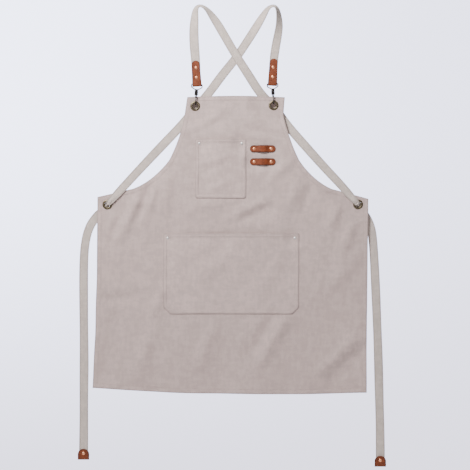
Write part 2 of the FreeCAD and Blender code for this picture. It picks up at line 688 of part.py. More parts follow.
STRAP_FROM_RIGHT = (
    (89.9, 0, -178, 19, 2.8, 0), (92.3, 0, -127, 21, 2.6, 0), (97.5, 0, -92, 22, 2, 0),
    (103.5, 0, -62, 22, 2, -30), (108, 0, -32, 22, 2, -74), (102.2, 0, 14, 22, 2, -90),
    (81.8, 0, 14, 22, 2, -90), (64, 0, -18, 22, 2, -46), (41, 2, -56, 22, 2, -4),
    (0.5, 2.6, -118, 22, 2, 0), (-36, 3, -162, 22, 2, 0), (-72.5, 7, -212, 22, 2, 0),
    (-104.5, 12.8, -245.5, 22, 2, 0), (-137, 7.5, -287, 22, 2, 0), (-186.5, 3, -339, 22, 2, 0),
    (-236.5, 0.5, -392, 22, 2, 0), (-279, -2.6, -438.5, 21.5, 2, 0), (-304, -3.8, -465.5, 17, 2.4, 0),
    (-321.2, -5.2, -484.5, 11, 3.2, 0), (-324.8, 5.2, -488.5, 11, 3.2, 0),
    (-335.5, 4.6, -500, 17, 2.4, 0), (-352, 4.2, -517, 21.5, 2, 0), (-371, 3.6, -546, 22, 2, 0),
    (-380.8, 3, -592, 22, 2, 0))
TIE_RIGHT = (
    (341.8, 3, -582.5, 22, 2, 0), (345.6, 3, -648, 22, 2, 0), (350, 2.2, -750, 22, 2, 0),
    (354.2, 2, -860, 22, 2, 0), (356.6, 2, -965, 22, 2, 0), (359.2, 2, -1060, 22, 2, 0),
    (359.4, 2, -1136, 22, 1.8, 0))
TIE_LEFT = (
    (-380.8, 3, -592, 22, 2, 0), (-383, 3, -655, 22, 2, 0), (-382.4, 2.2, -755, 22, 2, 0),
    (-381.2, 2, -865, 22, 2, 0), (-382.2, 2, -970, 22, 2, 0), (-382, 2, -1050, 22, 2, 0),
    (-383, 2, -1118, 22, 1.8, 0))
LOOP_CORNERS = (5, 6)  # the two points over each peg
ARC_STEP = 7.5


def route_radii(points):
    """The arc at each inner point: 0.45 of its shorter run over the tangent of half its turn."""
    radii = {}
    for number in range(1, len(points) - 1):
        way_in = points[number] - points[number - 1]
        way_out = points[number + 1] - points[number]
        turn = way_in.getAngle(way_out)
        shorter = min(way_in.Length, way_out.Length)
        radii[number] = 0.45 * shorter / math.tan(turn / 2)
    return radii


def side_way(way, twist):
    """The direction of a strap's width where it runs along way."""
    level = way.cross(Vector(0, 1, 0)).normalize()
    upright = level.cross(way).normalize()
    angle = math.radians(twist)
    return level * math.cos(angle) + upright * math.sin(angle)


def strap_stations(route):
    """Centre, direction, width, thickness and twist where the strap's sections stand."""
    points = [Vector(*row[:3]) for row in route]
    radii = route_radii(points)
    stations = [(points[0], (points[1] - points[0]).normalize(), route[0][3:])]
    for number in range(1, len(points) - 1):
        here = points[number]
        way_in = (here - points[number - 1]).normalize()
        way_out = (points[number + 1] - here).normalize()
        turn = way_in.getAngle(way_out)
        radius = radii[number]
        reach = radius * math.tan(turn / 2)
        bisector = (way_out - way_in).normalize()
        centre = here + bisector * (radius / math.cos(turn / 2))
        steps = max(2, int(math.degrees(turn) / ARC_STEP) + 1)
        plane = way_in.cross(way_out).normalize()
        start = here - way_in * reach - centre
        for step in range(steps + 1):
            part = turn * step / steps
            swing = Rotation(plane, math.degrees(part))
            lean = step / steps - 0.5
            beside = route[number + 1] if lean > 0 else route[number - 1]
            span = (points[number + 1] - here if lean > 0 else here - points[number - 1]).Length
            share = abs(lean) * 2 * reach / span
            blend = [a + (b - a) * share for a, b in zip(route[number][3:], beside[3:])]
            stations.append((centre + swing.multVec(start), swing.multVec(way_in), blend))
    stations.append((points[-1], (points[-1] - points[-2]).normalize(), route[-1][3:]))
    return stations


def strap_skin(label, stations):
    """A flat strap through its stations: ruled skin between rectangular sections."""
    wires = []
    for centre, way, (width, thickness, twist) in stations:
        across = side_way(way, twist) * (width / 2)
        through = way.cross(across).normalize() * (thickness / 2)
        corners = [centre - across - through, centre + across - through,
                   centre + across + through, centre - across + through]
        wires.append(Part.makePolygon(corners + corners[:1]))
    solid = Part.makeLoft(wires, True, True)
    length = sum(a[0].distanceToPoint(b[0]) for a, b in zip(stations, stations[1:]))
    area = size("strap_width") * size("strap_thickness")
    print(label, "length", round(length), "volume", round(solid.Volume),
          "section x length", round(area * length))
    return solid


def touching_point(outside, centre, clockwise):
    """Where a straight run from outside first touches the circle that the strap's middle takes."""
    reach = outside - centre
    turn = math.degrees(math.acos(size("loop_radius") / reach.Length))
    swing = Rotation(Vector(0, 1, 0), turn if clockwise else -turn)
    return centre + swing.multVec(reach).normalize() * size("loop_radius")


def loop_ring(centre, start, end):
    """The strap where it lies round its peg: a true arc from start, over the top, to end."""
    crown = start + end - centre
    runs = []
    for factor in (-0.5, 0.5):
        radius = size("loop_radius") + size("strap_thickness", factor)
        runs.append([centre + (spot - centre).normalize() * radius for spot in (start, crown, end)])
    inner, outer = runs
    edges = [Part.Arc(*inner).toShape(), Part.makeLine(inner[2], outer[2]),
             Part.Arc(*outer).toShape(), Part.makeLine(outer[0], inner[0])]
    width = Vector(0, size("strap_width"), 0)
    ring = Part.Face(Part.Wire(edges)).extrude(width)
    ring.translate(width * -0.5)
    return ring


def looped_strap(label, route):
    """A strap that goes up on the peg's outer side, round it, and down on its inner side."""
    before = route[:LOOP_CORNERS[0]]
    after = route[LOOP_CORNERS[1] + 1:]
    flat = route[LOOP_CORNERS[0]][3:]
    on_left = before[-1][0] < 0
    centre = Vector(size("peg_across", -1 if on_left else 1), 0, 0)
    outside = [Vector(*row[:3]) for row in (before[-1], after[0])]
    start = touching_point(outside[0], centre, on_left)
    end = touching_point(outside[1], centre, not on_left)
    way_up = (start - outside[0]).normalize()
    way_down = (outside[1] - end).normalize()
    leads = (start - way_up * size("loop_lead"), end + way_down * size("loop_lead"))
    rising = strap_stations(before + ((*leads[0], *flat),)) + [(start, way_up, flat)]
    falling = [(end, way_down, flat)] + strap_stations(((*leads[1], *flat),) + after)
    skins = [strap_skin(label, rising), strap_skin(label, falling)]
    return loop_ring(centre, start, end).fuse(skins)


def strap_node(label, solid):
    thing = doc.addObject("Part::Feature", label + "_solid")
    thing.Shape = solid
    return keep(thing, label)


def make_strap(label, route, tab_side, tie_side):
    """A shoulder strap: riveted in its tab, cut round the tie's turning disc at its far end."""
    solid = looped_strap(label, route)
    place = lean_placement(bar_centre(tab_side), size("tab_%s_lean" % tab_side))
    for height in tab_rivet_heights():
        tool = hole_tool(0, height)
        tool.Placement = place.multiply(tool.Placement)
        solid = solid.cut(tool)
    disc = size("strap_width") / 2 + size("tie_joint_gap")
    pivot = tie_pivot(tie_side)
    solid = solid.cut(Part.makeCylinder(disc, 20, pivot - Vector(0, 10, 0), Vector(0, 1, 0)))
    clear = 0.6 * disc
    trim = Part.makeBox(60, 20, 60, pivot + Vector(-30, -10, clear - 60))
    return strap_node(label, solid.cut(trim))


def tie_pivot(side):
    return Vector(size("tie_%s_pivot_across" % side), size("tie_pivot_depth"),
                  -size("tie_%s_pivot_down" % side))


def make_tie(label, route, side):
    """A tie: a round end that turns about the pivot, and the strap that hangs from it."""
    solid = strap_skin(label, strap_stations(route))
    thickness = size("strap_thickness") * 0.8
    start = tie_pivot(side) - Vector(0, thickness / 2, 0)
    disc = Part.makeCylinder(size("strap_width") / 2, thickness, start, Vector(0, 1, 0))
    hole = -size("tip_%s_down" % side) - size("tip_rivet_drop")
    solid = solid.fuse(disc).removeSplitter()
    return strap_node(label, solid.cut(hole_tool(size("tip_%s_across" % side), hole)))


# ---------------------------------------------------------------- the whole apron

def make_pocket_rivets(prefix):
    """The two rivets that hold the ends of a pocket's mouth."""
    reach = size(prefix + "_width") / 2 - size("pocket_rivet_inset")
    level = -size(prefix + "_down") - size("pocket_rivet_drop")
    centre = size(prefix + "_across")
    face = -size("pocket_seat") - size("cloth_thickness")
    return rivets(prefix + "_pocket_rivets", [(centre - reach, level), (centre + reach, level)],
                  face, size("cloth_thickness") / 2, "pocket_rivet_cap_radius")


def drill_cloth():
    """Rivet holes through the panel and the pockets."""
    cap = size("pocket_rivet_inset")
    drop = size("pocket_rivet_drop")
    holes = {"main_panel": []}
    for prefix, label in (("chest", "chest_pocket"), ("lower", "lower_pocket")):
        reach = size(prefix + "_width") / 2 - cap
        holes[label] = [(side * reach, -drop) for side in (-1, 1)]
        centre = size(prefix + "_across")
        level = -size(prefix + "_down") - drop
        holes["main_panel"] += [(centre + side * reach, level) for side in (-1, 1)]
    for which in ("upper", "lower"):
        reach = size("pen_rivet_spacing") / 2
        level = -size("pen_%s_down" % which)
        holes["main_panel"] += [(size("pen_across") + side * reach, level) for side in (-1, 1)]
    for body in [thing for thing in pieces if thing.Label in holes]:
        sketch = plane_sketch(body, body.Label + "_rivet_holes")
        for across, height in holes[body.Label]:
            circle = Part.Circle(Vector(across, height, 0), Vector(0, 0, 1), size("rivet_hole_radius"))
            sketch.addGeometry(circle, False)
        cut_through(body, sketch, body.Label + "_rivet_cut")


def check_and_write():
    """Stop on any failed object, then write one file for each sub-part."""
    doc.recompute()
    for thing in doc.Objects:
        if {"Invalid", "Error"} & set(thing.State):
            raise RuntimeError("%s is %s" % (thing.Label, thing.State))
    os.makedirs("parts", exist_ok=True)
    for thing in pieces:
        shape = thing.Shape
        if shape.isNull() or not shape.isValid() or shape.Volume <= 0:
            raise RuntimeError("%s has no valid shape" % thing.Label)
        shape.exportStep("parts/%s.step" % thing.Label)
        print(thing.Label, "solids", len(shape.Solids), "volume", round(shape.Volume, 1))


make_panel()
make_pocket("chest", "chest_pocket")
make_pocket("lower", "lower_pocket")
drill_cloth()
for eyelet in EYELETS:
    make_eyelet(eyelet)
    make_washer(eyelet)
make_pocket_rivets("chest")
make_pocket_rivets("lower")
for level in ("upper", "lower"):
    make_pen_loop(level)
for hand in ("left", "right"):
    make_tab(hand)
    make_snap(hand)
    make_tip(hand)
make_strap("strap_from_left", STRAP_FROM_LEFT, "left", "right")
make_strap("strap_from_right", STRAP_FROM_RIGHT, "right", "left")
make_tie("tie_right", TIE_RIGHT, "right")
make_tie("tie_left", TIE_LEFT, "left")
check_and_write()
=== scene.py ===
import json
import math
import random

import bpy
import numpy as np
from mathutils import Matrix, Vector
from mathutils.geometry import delaunay_2d_cdt

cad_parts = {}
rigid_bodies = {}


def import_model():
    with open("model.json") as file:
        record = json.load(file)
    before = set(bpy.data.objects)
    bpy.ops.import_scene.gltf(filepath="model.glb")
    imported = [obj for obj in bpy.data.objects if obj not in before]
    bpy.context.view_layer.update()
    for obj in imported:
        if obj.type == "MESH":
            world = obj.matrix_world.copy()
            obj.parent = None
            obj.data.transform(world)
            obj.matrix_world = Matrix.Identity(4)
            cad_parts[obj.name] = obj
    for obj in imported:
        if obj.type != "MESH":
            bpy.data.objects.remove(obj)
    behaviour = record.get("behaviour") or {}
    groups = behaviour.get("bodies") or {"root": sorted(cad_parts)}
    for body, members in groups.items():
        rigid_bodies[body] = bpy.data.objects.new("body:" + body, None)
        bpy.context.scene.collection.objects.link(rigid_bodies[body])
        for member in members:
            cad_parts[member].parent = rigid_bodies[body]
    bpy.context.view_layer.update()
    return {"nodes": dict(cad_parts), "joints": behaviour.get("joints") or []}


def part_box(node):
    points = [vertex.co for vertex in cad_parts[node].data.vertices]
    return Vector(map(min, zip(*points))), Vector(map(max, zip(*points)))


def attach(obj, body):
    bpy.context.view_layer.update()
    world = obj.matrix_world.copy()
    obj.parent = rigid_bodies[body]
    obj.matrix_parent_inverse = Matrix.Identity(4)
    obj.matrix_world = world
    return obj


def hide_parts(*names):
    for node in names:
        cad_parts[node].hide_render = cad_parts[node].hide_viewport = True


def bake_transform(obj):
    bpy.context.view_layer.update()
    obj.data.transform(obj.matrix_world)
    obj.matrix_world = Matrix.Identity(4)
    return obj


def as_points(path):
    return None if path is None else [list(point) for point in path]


# Lengths are in metres, in the row's frame: +X right, -Y to the front, +Z up.

for thing in list(bpy.data.objects):
    bpy.data.objects.remove(thing, do_unlink=True)

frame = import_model()
MM = 0.001
TAU = 2 * math.pi


def middle(node):
    """The centre of a CAD node's box."""
    low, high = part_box(node)
    return (Vector(low) + Vector(high)) / 2


def joint_place(name):
    return next(joint["pos_m"] for joint in frame["joints"] if joint["name"] == name)


# ------------------------------------------------------------------ camera

CAMERA_DISTANCE = 5.0
FRAME_WIDTH = 1.175
AIM = Vector((-0.0041, 0, -0.5625))


def make_camera():
    data = bpy.data.cameras.new("camera")
    data.sensor_width = 36
    data.lens = data.sensor_width * CAMERA_DISTANCE / FRAME_WIDTH
    camera = bpy.data.objects.new("camera", data)
    bpy.context.collection.objects.link(camera)
    camera.location = AIM - Vector((0, CAMERA_DISTANCE, 0))
    camera.rotation_euler = (math.pi / 2, 0, 0)
    bpy.context.scene.camera = camera


make_camera()

# ------------------------------------------------------------------ materials

BANDS_PER_UNIT = 3.183  # a Wave Texture of scale 1 has this many bands a metre
COLOUR_A, COLOUR_B, COLOUR_OUT = 6, 7, 2  # the colour sockets of a Mix node


class Graph:
    """Small helper round the node tree of a material or a world."""

    def __init__(self, owner):
        owner.use_nodes = True
        self.tree = owner.node_tree

    def add(self, kind, **values):
        node = self.tree.nodes.new(kind)
        for key, value in values.items():
            setattr(node, key, value)
        return node

    def link(self, source, target):
        self.tree.links.new(source, target)

    def put(self, value, socket):
        """Give a socket a number, a colour or the output of another node."""
        if isinstance(value, (int, float)):
            socket.default_value = value
        elif isinstance(value, tuple):
            socket.default_value = (*value, 1)
        else:
            self.link(value, socket)

    def math(self, operation, first, second=None):
        node = self.add("ShaderNodeMath", operation=operation)
        self.put(first, node.inputs[0])
        if second is not None:
            self.put(second, node.inputs[1])
        return node.outputs[0]

    def span(self, value, low, high, to_low=0.0, to_high=1.0):
        node = self.add("ShaderNodeMapRange", interpolation_type="SMOOTHSTEP")
        for name, number in (("From Min", low), ("From Max", high), ("To Min", to_low), ("To Max", to_high),
                             ("Value", value)):
            self.put(number, node.inputs[name])
        return node.outputs["Result"]

    def mix(self, factor, first, second):
        node = self.add("ShaderNodeMix", data_type="RGBA")
        for slot, value in ((0, factor), (COLOUR_A, first), (COLOUR_B, second)):
            self.put(value, node.inputs[slot])
        return node.outputs[COLOUR_OUT]


class Nodes(Graph):
    """The node tree of one new material."""

    def __init__(self, name):
        self.material = bpy.data.materials.new(name)
        super().__init__(self.material)
        self.shader = self.tree.nodes["Principled BSDF"]

    def coordinates(self, scale=(1, 1, 1), source="Object"):
        if source == "UV":
            origin = self.add("ShaderNodeUVMap", uv_map="along").outputs["UV"]
        else:
            origin = self.add("ShaderNodeTexCoord").outputs[source]
        mapping = self.add("ShaderNodeMapping")
        mapping.inputs["Scale"].default_value = scale
        self.link(origin, mapping.inputs["Vector"])
        return mapping.outputs["Vector"]

    def noise(self, scale, detail=2.0, roughness=0.5, stretch=(1, 1, 1), source="Object"):
        node = self.add("ShaderNodeTexNoise")
        node.inputs["Scale"].default_value = scale
        node.inputs["Detail"].default_value = detail
        node.inputs["Roughness"].default_value = roughness
        self.link(self.coordinates(stretch, source), node.inputs["Vector"])
        return node.outputs["Fac"]

    def bands(self, per_metre, direction, source="Object"):
        node = self.add("ShaderNodeTexWave", bands_direction=direction)
        node.inputs["Scale"].default_value = per_metre / BANDS_PER_UNIT
        node.inputs["Distortion"].default_value = 0.6
        node.inputs["Detail"].default_value = 1.0
        node.inputs["Detail Scale"].default_value = 0.4
        self.link(self.coordinates(source=source), node.inputs["Vector"])
        return node.outputs["Fac"]

    def attribute(self, name):
        return self.add("ShaderNodeAttribute", attribute_name=name).outputs["Fac"]

    def bump(self, height, strength, distance, under=None):
        node = self.add("ShaderNodeBump")
        node.inputs["Strength"].default_value = strength
        node.inputs["Distance"].default_value = distance
        self.link(height, node.inputs["Height"])
        if under is not None:
            self.link(under, node.inputs["Normal"])
        return node.outputs["Normal"]

    def finish(self, colour, roughness, normal=None, **uniform):
        self.put(colour, self.shader.inputs["Base Color"])
        self.put(roughness, self.shader.inputs["Roughness"])
        if normal is not None:
            self.link(normal, self.shader.inputs["Normal"])
        for key, value in uniform.items():
            self.put(value, self.shader.inputs[key.replace("_", " ")])
        return self.material


def shade(colour, factor):
    return tuple(min(1.0, part * factor) for part in colour)


PANEL_STITCH = 11 * MM
POCKET_STITCH = 8 * MM
STRAP_STITCH = 2.7 * MM


def canvas_material(name, colour, hem_line, source="Object"):
    """Washed cotton canvas: plain weave, slubs, broad wash marks, and painted shade at the hem edges and in
    the stitch groove.
    """
    n = Nodes(name)
    across, up = ("X", "Y") if source == "UV" else ("X", "Z")
    weave = n.math("MAXIMUM", n.bands(900, across, source), n.bands(820, up, source))
    weft_slub, warp_slub = ((1, 14, 1), (14, 1, 1)) if source == "UV" else ((1, 1, 16), (16, 1, 1))
    slubs = n.math("ADD", n.noise(420, 2, 0.6, weft_slub, source), n.noise(420, 2, 0.6, warp_slub, source))
    wash = n.noise(9, 4, 0.55)
    cloud = n.noise(42, 5, 0.72)
    smudge = n.math("ADD", n.noise(105, 4, 0.6, (0.45, 1, 1)), n.noise(115, 4, 0.6, (1, 1, 0.4)))
    fleck = n.noise(900, 2, 0.7)
    streak = n.noise(240, 3, 0.6, (1, 0.07, 1) if source == "UV" else (1, 1, 0.07), source)
    tone = n.mix(n.span(wash, 0.30, 0.70), shade(colour, 0.89), shade(colour, 1.10))
    tone = n.mix(n.span(cloud, 0.36, 0.66, 0, 0.72), tone, shade(colour, 0.80))
    tone = n.mix(n.span(streak, 0.36, 0.64, 0.48, 0.0), tone, shade(colour, 0.76))
    thread = n.mix(n.span(slubs, 0.85, 1.2), shade(colour, 0.86), shade(colour, 1.10))
    tone = n.mix(0.58, tone, thread)
    tone = n.mix(n.span(fleck, 0.38, 0.66, 0.26, 0.0), tone, shade(colour, 0.7))
    tone = n.mix(n.span(weave, 0.2, 0.9, 0.30, 0.0), tone, shade(colour, 0.66))
    tone = n.mix(n.span(smudge, 0.84, 1.16, 0.0, 0.58), tone, shade(colour, 0.70))
    edge = n.attribute("edge")
    # Painted shade: the cloth is darker towards its cut edge, where the hem's thickness shades it.
    tone = n.mix(n.span(edge, 0.8 * MM, 4.0 * MM, 0.68, 0.0), tone, shade(colour, 0.56))
    # Painted shade in the stitch groove, its darkness varied along the line by pucker noise.
    away = n.math("ABSOLUTE", n.math("SUBTRACT", edge, hem_line))
    pucker = n.noise(150, 2, 0.5)
    dip = n.math("MULTIPLY", n.span(away, 0.0, 1.9 * MM, 1.0, 0.0), n.span(pucker, 0.3, 0.62, 0.35, 1.0))
    tone = n.mix(n.math("MULTIPLY", dip, 0.44), tone, shade(colour, 0.55))
    normal = n.bump(weave, 0.28, 0.0004)
    normal = n.bump(slubs, 0.22, 0.0005, normal)
    normal = n.bump(cloud, 0.25, 0.0022, normal)
    return n.finish(tone, n.span(slubs, 0.7, 1.3, 0.95, 0.82), normal,
                    Sheen_Weight=0.18, Sheen_Roughness=0.6, Specular_IOR_Level=0.22)


def leather_material(name, colour):
    """Waxed tan leather: pebbled grain, pull-up mottling and dark burnished edges."""
    n = Nodes(name)
    grain = n.add("ShaderNodeTexVoronoi", feature="DISTANCE_TO_EDGE")
    grain.inputs["Scale"].default_value = 900
    n.link(n.coordinates(), grain.inputs["Vector"])
    pebble = n.span(grain.outputs["Distance"], 0.0, 0.12)
    mottling = n.noise(95, 4, 0.65)
    streaks = n.noise(260, 3, 0.6, (1, 1, 0.3))
    tone = n.mix(n.span(mottling, 0.3, 0.7), shade(colour, 0.7), shade(colour, 1.28))
    tone = n.mix(n.span(streaks, 0.35, 0.75, 0.0, 0.4), tone, shade(colour, 0.62))
    tone = n.mix(n.span(pebble, 0.0, 1.0, 0.25, 0.0), tone, shade(colour, 0.4))
    burnish = n.span(n.attribute("edge"), 0.6 * MM, 3.0 * MM, 0.85, 0.0)
    tone = n.mix(burnish, tone, shade(colour, 0.3))
    normal = n.bump(pebble, 0.3, 0.0003)
    normal = n.bump(mottling, 0.2, 0.0010, normal)
    return n.finish(tone, n.span(mottling, 0.3, 0.7, 0.42, 0.58), normal,
                    Coat_Weight=0.06, Coat_Roughness=0.35, Specular_IOR_Level=0.32)


def metal_material(name, colour, worn, roughness, wear_scale=260):
    """Plated metal with handling marks, and paler where it has worn."""
    n = Nodes(name)
    marks = n.noise(wear_scale, 5, 0.65)
    scratches = n.noise(1400, 2, 0.5, (1, 1, 0.08))
    tone = n.mix(n.span(marks, 0.42, 0.68), colour, worn)
    rough = n.span(marks, 0.3, 0.75, roughness * 0.8, roughness * 1.35)
    normal = n.bump(scratches, 0.12, 0.0001)
    return n.finish(tone, rough, normal, Metallic=1.0)


def thread_material(name, colour):
    n = Nodes(name)
    twist = n.noise(2600, 2, 0.5, (1, 1, 0.5))
    tone = n.mix(n.span(twist, 0.3, 0.7), shade(colour, 0.82), shade(colour, 1.1))
    return n.finish(tone, 0.8, n.bump(twist, 0.3, 0.0002), Sheen_Weight=0.2)


CANVAS = (0.594, 0.449, 0.417)
STRAP = (0.640, 0.539, 0.480)
LEATHER = (0.172, 0.035, 0.008)
canvas = canvas_material("canvas", CANVAS, hem_line=PANEL_STITCH)
# The pockets use the panel's own canvas painted 4.5% lighter: painted light, not a different cloth.
pocket_canvas = canvas_material("pocket_canvas", shade(CANVAS, 1.045), hem_line=POCKET_STITCH)
strap_canvas = canvas_material("strap_canvas", STRAP, source="UV", hem_line=STRAP_STITCH)
leather = leather_material("leather_waxed", LEATHER)
copper = metal_material("copper_rivet", (0.86, 0.34, 0.18), (0.94, 0.52, 0.32), 0.42)
nickel = metal_material("nickel_rivet", (0.80, 0.78, 0.75), (0.95, 0.94, 0.92), 0.45)
bronze = metal_material("antique_brass", (0.100, 0.080, 0.052), (0.27, 0.220, 0.148), 0.42, 420)
gunmetal = metal_material("gunmetal", (0.030, 0.028, 0.026), (0.110, 0.100, 0.090), 0.34)
steel = metal_material("steel", (0.30, 0.29, 0.28), (0.55, 0.54, 0.52), 0.28)
seam_thread = thread_material("seam_thread", shade(CANVAS, 0.93))
strap_thread = thread_material("strap_thread", shade(STRAP, 0.95))

CAD_FINISH = {"copper_rivet": copper, "nickel_rivet": nickel, "antique_brass": bronze,
              "gunmetal": gunmetal, "steel": steel}
for node in frame["nodes"].values():
    for slot in node.material_slots:
        finish = CAD_FINISH.get(slot.material.name.split(".")[0]) if slot.material else None
        if finish:
            slot.material = finish

# ------------------------------------------------------------------ meshes


def mesh_object(name, points, faces, material, edge=None, uv=None):
    """A smooth mesh; edge is the distance to the cut edge, uv a pair for each point."""
    mesh = bpy.data.meshes.new(name)
    mesh.from_pydata([tuple(point) for point in points], [], [tuple(face) for face in faces])
    mesh.polygons.foreach_set("use_smooth", [True] * len(mesh.polygons))
    if edge is not None:
        layer = mesh.attributes.new("edge", "FLOAT", "POINT")
        layer.data.foreach_set("value", np.asarray(edge, dtype=np.float32))
    if uv is not None:
        layer = mesh.uv_layers.new(name="along")
        corners = np.empty(len(mesh.loops), dtype=np.int32)
        mesh.loops.foreach_get("vertex_index", corners)
        layer.data.foreach_set("uv", np.asarray(uv, dtype=np.float32)[corners].ravel())
    mesh.materials.append(material)
    mesh.update()
    piece = bpy.data.objects.new(name, mesh)
    bpy.context.collection.objects.link(piece)
    return piece


def smooth_step(value, low, high):
    part = np.clip((value - low) / (high - low), 0, 1)
    return part * part * (3 - 2 * part)


def unit(rows):
    return rows / np.linalg.norm(rows, axis=1)[:, None]


def travel_along(line):
    """The distance gone at each point of a line."""
    return np.concatenate(([0], np.cumsum(np.linalg.norm(np.diff(line, axis=0), axis=1))))


def sample(at, travel, rows):
    """Rows of numbers read off at one or more distances along a line."""
    return np.stack([np.interp(at, travel, column) for column in rows.T], axis=-1)


def tube_faces(rings, corners):
    """Faces of a closed tube: its walls, then its two ends."""
    faces = []
    for ring in range(rings - 1):
        for corner in range(corners):
            a = ring * corners + corner
            b = ring * corners + (corner + 1) % corners
            faces.append((a, b, b + corners, a + corners))
    faces.append(tuple(reversed(range(corners))))
    faces.append(tuple(range((rings - 1) * corners, rings * corners)))
    return faces


def ripples(x, z, wavelength, seed, count=14, spread=0.35):
    """A soft random surface, from -1 to 1 or so, as a sum of seeded plane waves."""
    draw = random.Random(seed)
    total = np.zeros_like(x)
    for _ in range(count):
        angle = draw.uniform(0, TAU)
        length = wavelength * draw.uniform(1 - spread, 1 + spread)
        phase = draw.uniform(0, TAU)
        total += np.sin(TAU * (x * math.cos(angle) + z * math.sin(angle)) / length + phase)
    return total * math.sqrt(2 / count) / 2


# ------------------------------------------------------------------ how the cloth hangs

EYELETS = {name: middle("eyelet_" + name) for name in ("top_left", "top_right", "side_left", "side_right")}
CLOTH = 1.2 * MM


def node_islands(node):
    """Centres of the two solids of a CAD node, told apart by their places along X."""
    spots = sorted({(round(v.co.x, 4), round(v.co.z, 4)) for v in frame["nodes"][node].data.vertices})
    spots = np.array(spots)
    right = spots[:, 0] >= (spots[:, 0].min() + spots[:, 0].max()) / 2
    return [tuple(half.min(axis=0) / 2 + half.max(axis=0) / 2) for half in (spots[~right], spots[right])]


# x, z, the radius that is held flat and the radius where the cloth is free
FIXED = [(spot.x, spot.z, 0.015, 0.050) for name, spot in EYELETS.items() if "side" in name]
FIXED += [(spot.x, spot.z, 0.032, 0.070) for name, spot in EYELETS.items() if "top" in name]
for side, inward in (("side_left", 0.028), ("side_right", -0.028)):
    FIXED.append((EYELETS[side].x + inward, EYELETS[side].z + 0.031, 0.022, 0.060))
for rivet_node in ("chest_pocket_rivets", "lower_pocket_rivets", "pen_loop_rivets_upper",
                   "pen_loop_rivets_lower"):
    FIXED += [(x, z, 0.006, 0.035) for x, z in node_islands(rivet_node)]


def calm(x, z):
    """0 at the hardware that the CAD holds in place, 1 away from it."""
    free = np.ones_like(x)
    for cx, cz, near, far in FIXED:
        free = free * smooth_step(np.hypot(x - cx, z - cz), near, far)
    return free


def fold(x, z, start, end, width, height):
    """One soft drag fold: a ridge from start to end that fades at both ends."""
    ax, az = start
    bx, bz = end
    length = math.hypot(bx - ax, bz - az)
    along = ((x - ax) * (bx - ax) + (z - az) * (bz - az)) / length ** 2
    across = ((x - ax) * (bz - az) - (z - az) * (bx - ax)) / length
    fade = smooth_step(along, -0.15, 0.3) * (1 - smooth_step(along, 0.55, 1.15))
    return height * fade * np.exp(-(across / width) ** 2)


side_left = (EYELETS["side_left"].x, EYELETS["side_left"].z)
side_right = (EYELETS["side_right"].x, EYELETS["side_right"].z)
# Start, end and half width of each drag fold in metres, then its height in millimetres before FOLD_DEPTH
# scales it. A negative height is a valley.
FOLDS = (
    # from the left side eyelet and armhole
    ((side_left[0] + 0.02, side_left[1] + 0.02), (-0.225, -0.482), 0.009, 2.6),
    ((-0.272, -0.462), (-0.318, -0.590), 0.010, -2.9),
    ((-0.246, -0.460), (-0.292, -0.580), 0.012, 2.9),
    ((-0.216, -0.432), (-0.254, -0.545), 0.010, -2.6),
    ((-0.198, -0.430), (-0.232, -0.530), 0.011, 2.8),
    ((-0.165, -0.400), (-0.190, -0.520), 0.016, 2.2),
    ((-0.345, -0.700), (-0.190, -0.690), 0.014, 1.2),
    ((-0.345, -0.722), (-0.210, -0.716), 0.013, -0.9),
    ((-0.176, -0.690), (-0.216, -0.780), 0.013, 2.8),
    # from the right side eyelet and armhole
    ((side_right[0] - 0.02, side_right[1] + 0.012), (0.205, -0.462), 0.010, -2.4),
    ((0.262, -0.470), (0.225, -0.560), 0.013, 2.8),
    ((0.190, -0.430), (0.158, -0.520), 0.014, -1.7),
    ((0.160, -0.412), (0.120, -0.520), 0.015, 1.6),
    ((side_right[0] - 0.005, side_right[1] - 0.03), (0.250, -0.640), 0.014, 2.4),
    ((0.312, -0.600), (0.215, -0.720), 0.018, 1.8),
    # over and under the lower pocket
    ((0.098, -0.486), (0.000, -0.530), 0.012, -2.2),
    ((0.074, -0.476), (-0.020, -0.520), 0.012, 1.7),
    ((-0.020, -0.478), (-0.130, -0.500), 0.013, 1.8),
    ((0.125, -0.762), (0.045, -0.905), 0.016, 3.1),
    ((0.095, -0.760), (0.016, -0.890), 0.016, -1.9),
    ((0.338, -0.828), (0.222, -0.948), 0.016, -3.3),
    ((0.306, -0.808), (0.192, -0.925), 0.015, 2.7),
    ((-0.060, -0.780), (-0.105, -0.930), 0.018, 2.8),
    ((-0.205, -0.790), (-0.262, -0.940), 0.020, 2.8),
    ((-0.300, -0.760), (-0.330, -0.930), 0.018, -2.4),
    # lower pocket
    ((0.030, -0.575), (-0.100, -0.680), 0.022, 1.1),
    ((-0.010, -0.570), (-0.140, -0.660), 0.018, -0.8),
    ((0.120, -0.600), (0.040, -0.740), 0.022, 1.2),
    # bib and chest pocket
    ((-0.132, -0.296), (-0.022, -0.244), 0.013, 2.0),
    ((-0.128, -0.318), (-0.010, -0.262), 0.012, -1.6),
    ((0.118, -0.318), (0.020, -0.296), 0.010, -1.8),
    ((0.110, -0.290), (0.010, -0.262), 0.012, 1.6),
    ((-0.092, -0.384), (0.012, -0.356), 0.009, 0.9),
    ((-0.088, -0.408), (0.000, -0.372), 0.009, -0.7),
    ((-0.080, -0.452), (-0.010, -0.428), 0.010, 1.0),
    ((0.140, -0.370), (0.070, -0.440), 0.014, 1.8),
    ((-0.150, -0.360), (-0.120, -0.450), 0.013, 1.6),
)
FOLD_DEPTH = 1.9
FORWARD = 4.5  # millimetres that the cloth stands forward on average
LEAST = 0.6  # millimetres under which a valley flattens out


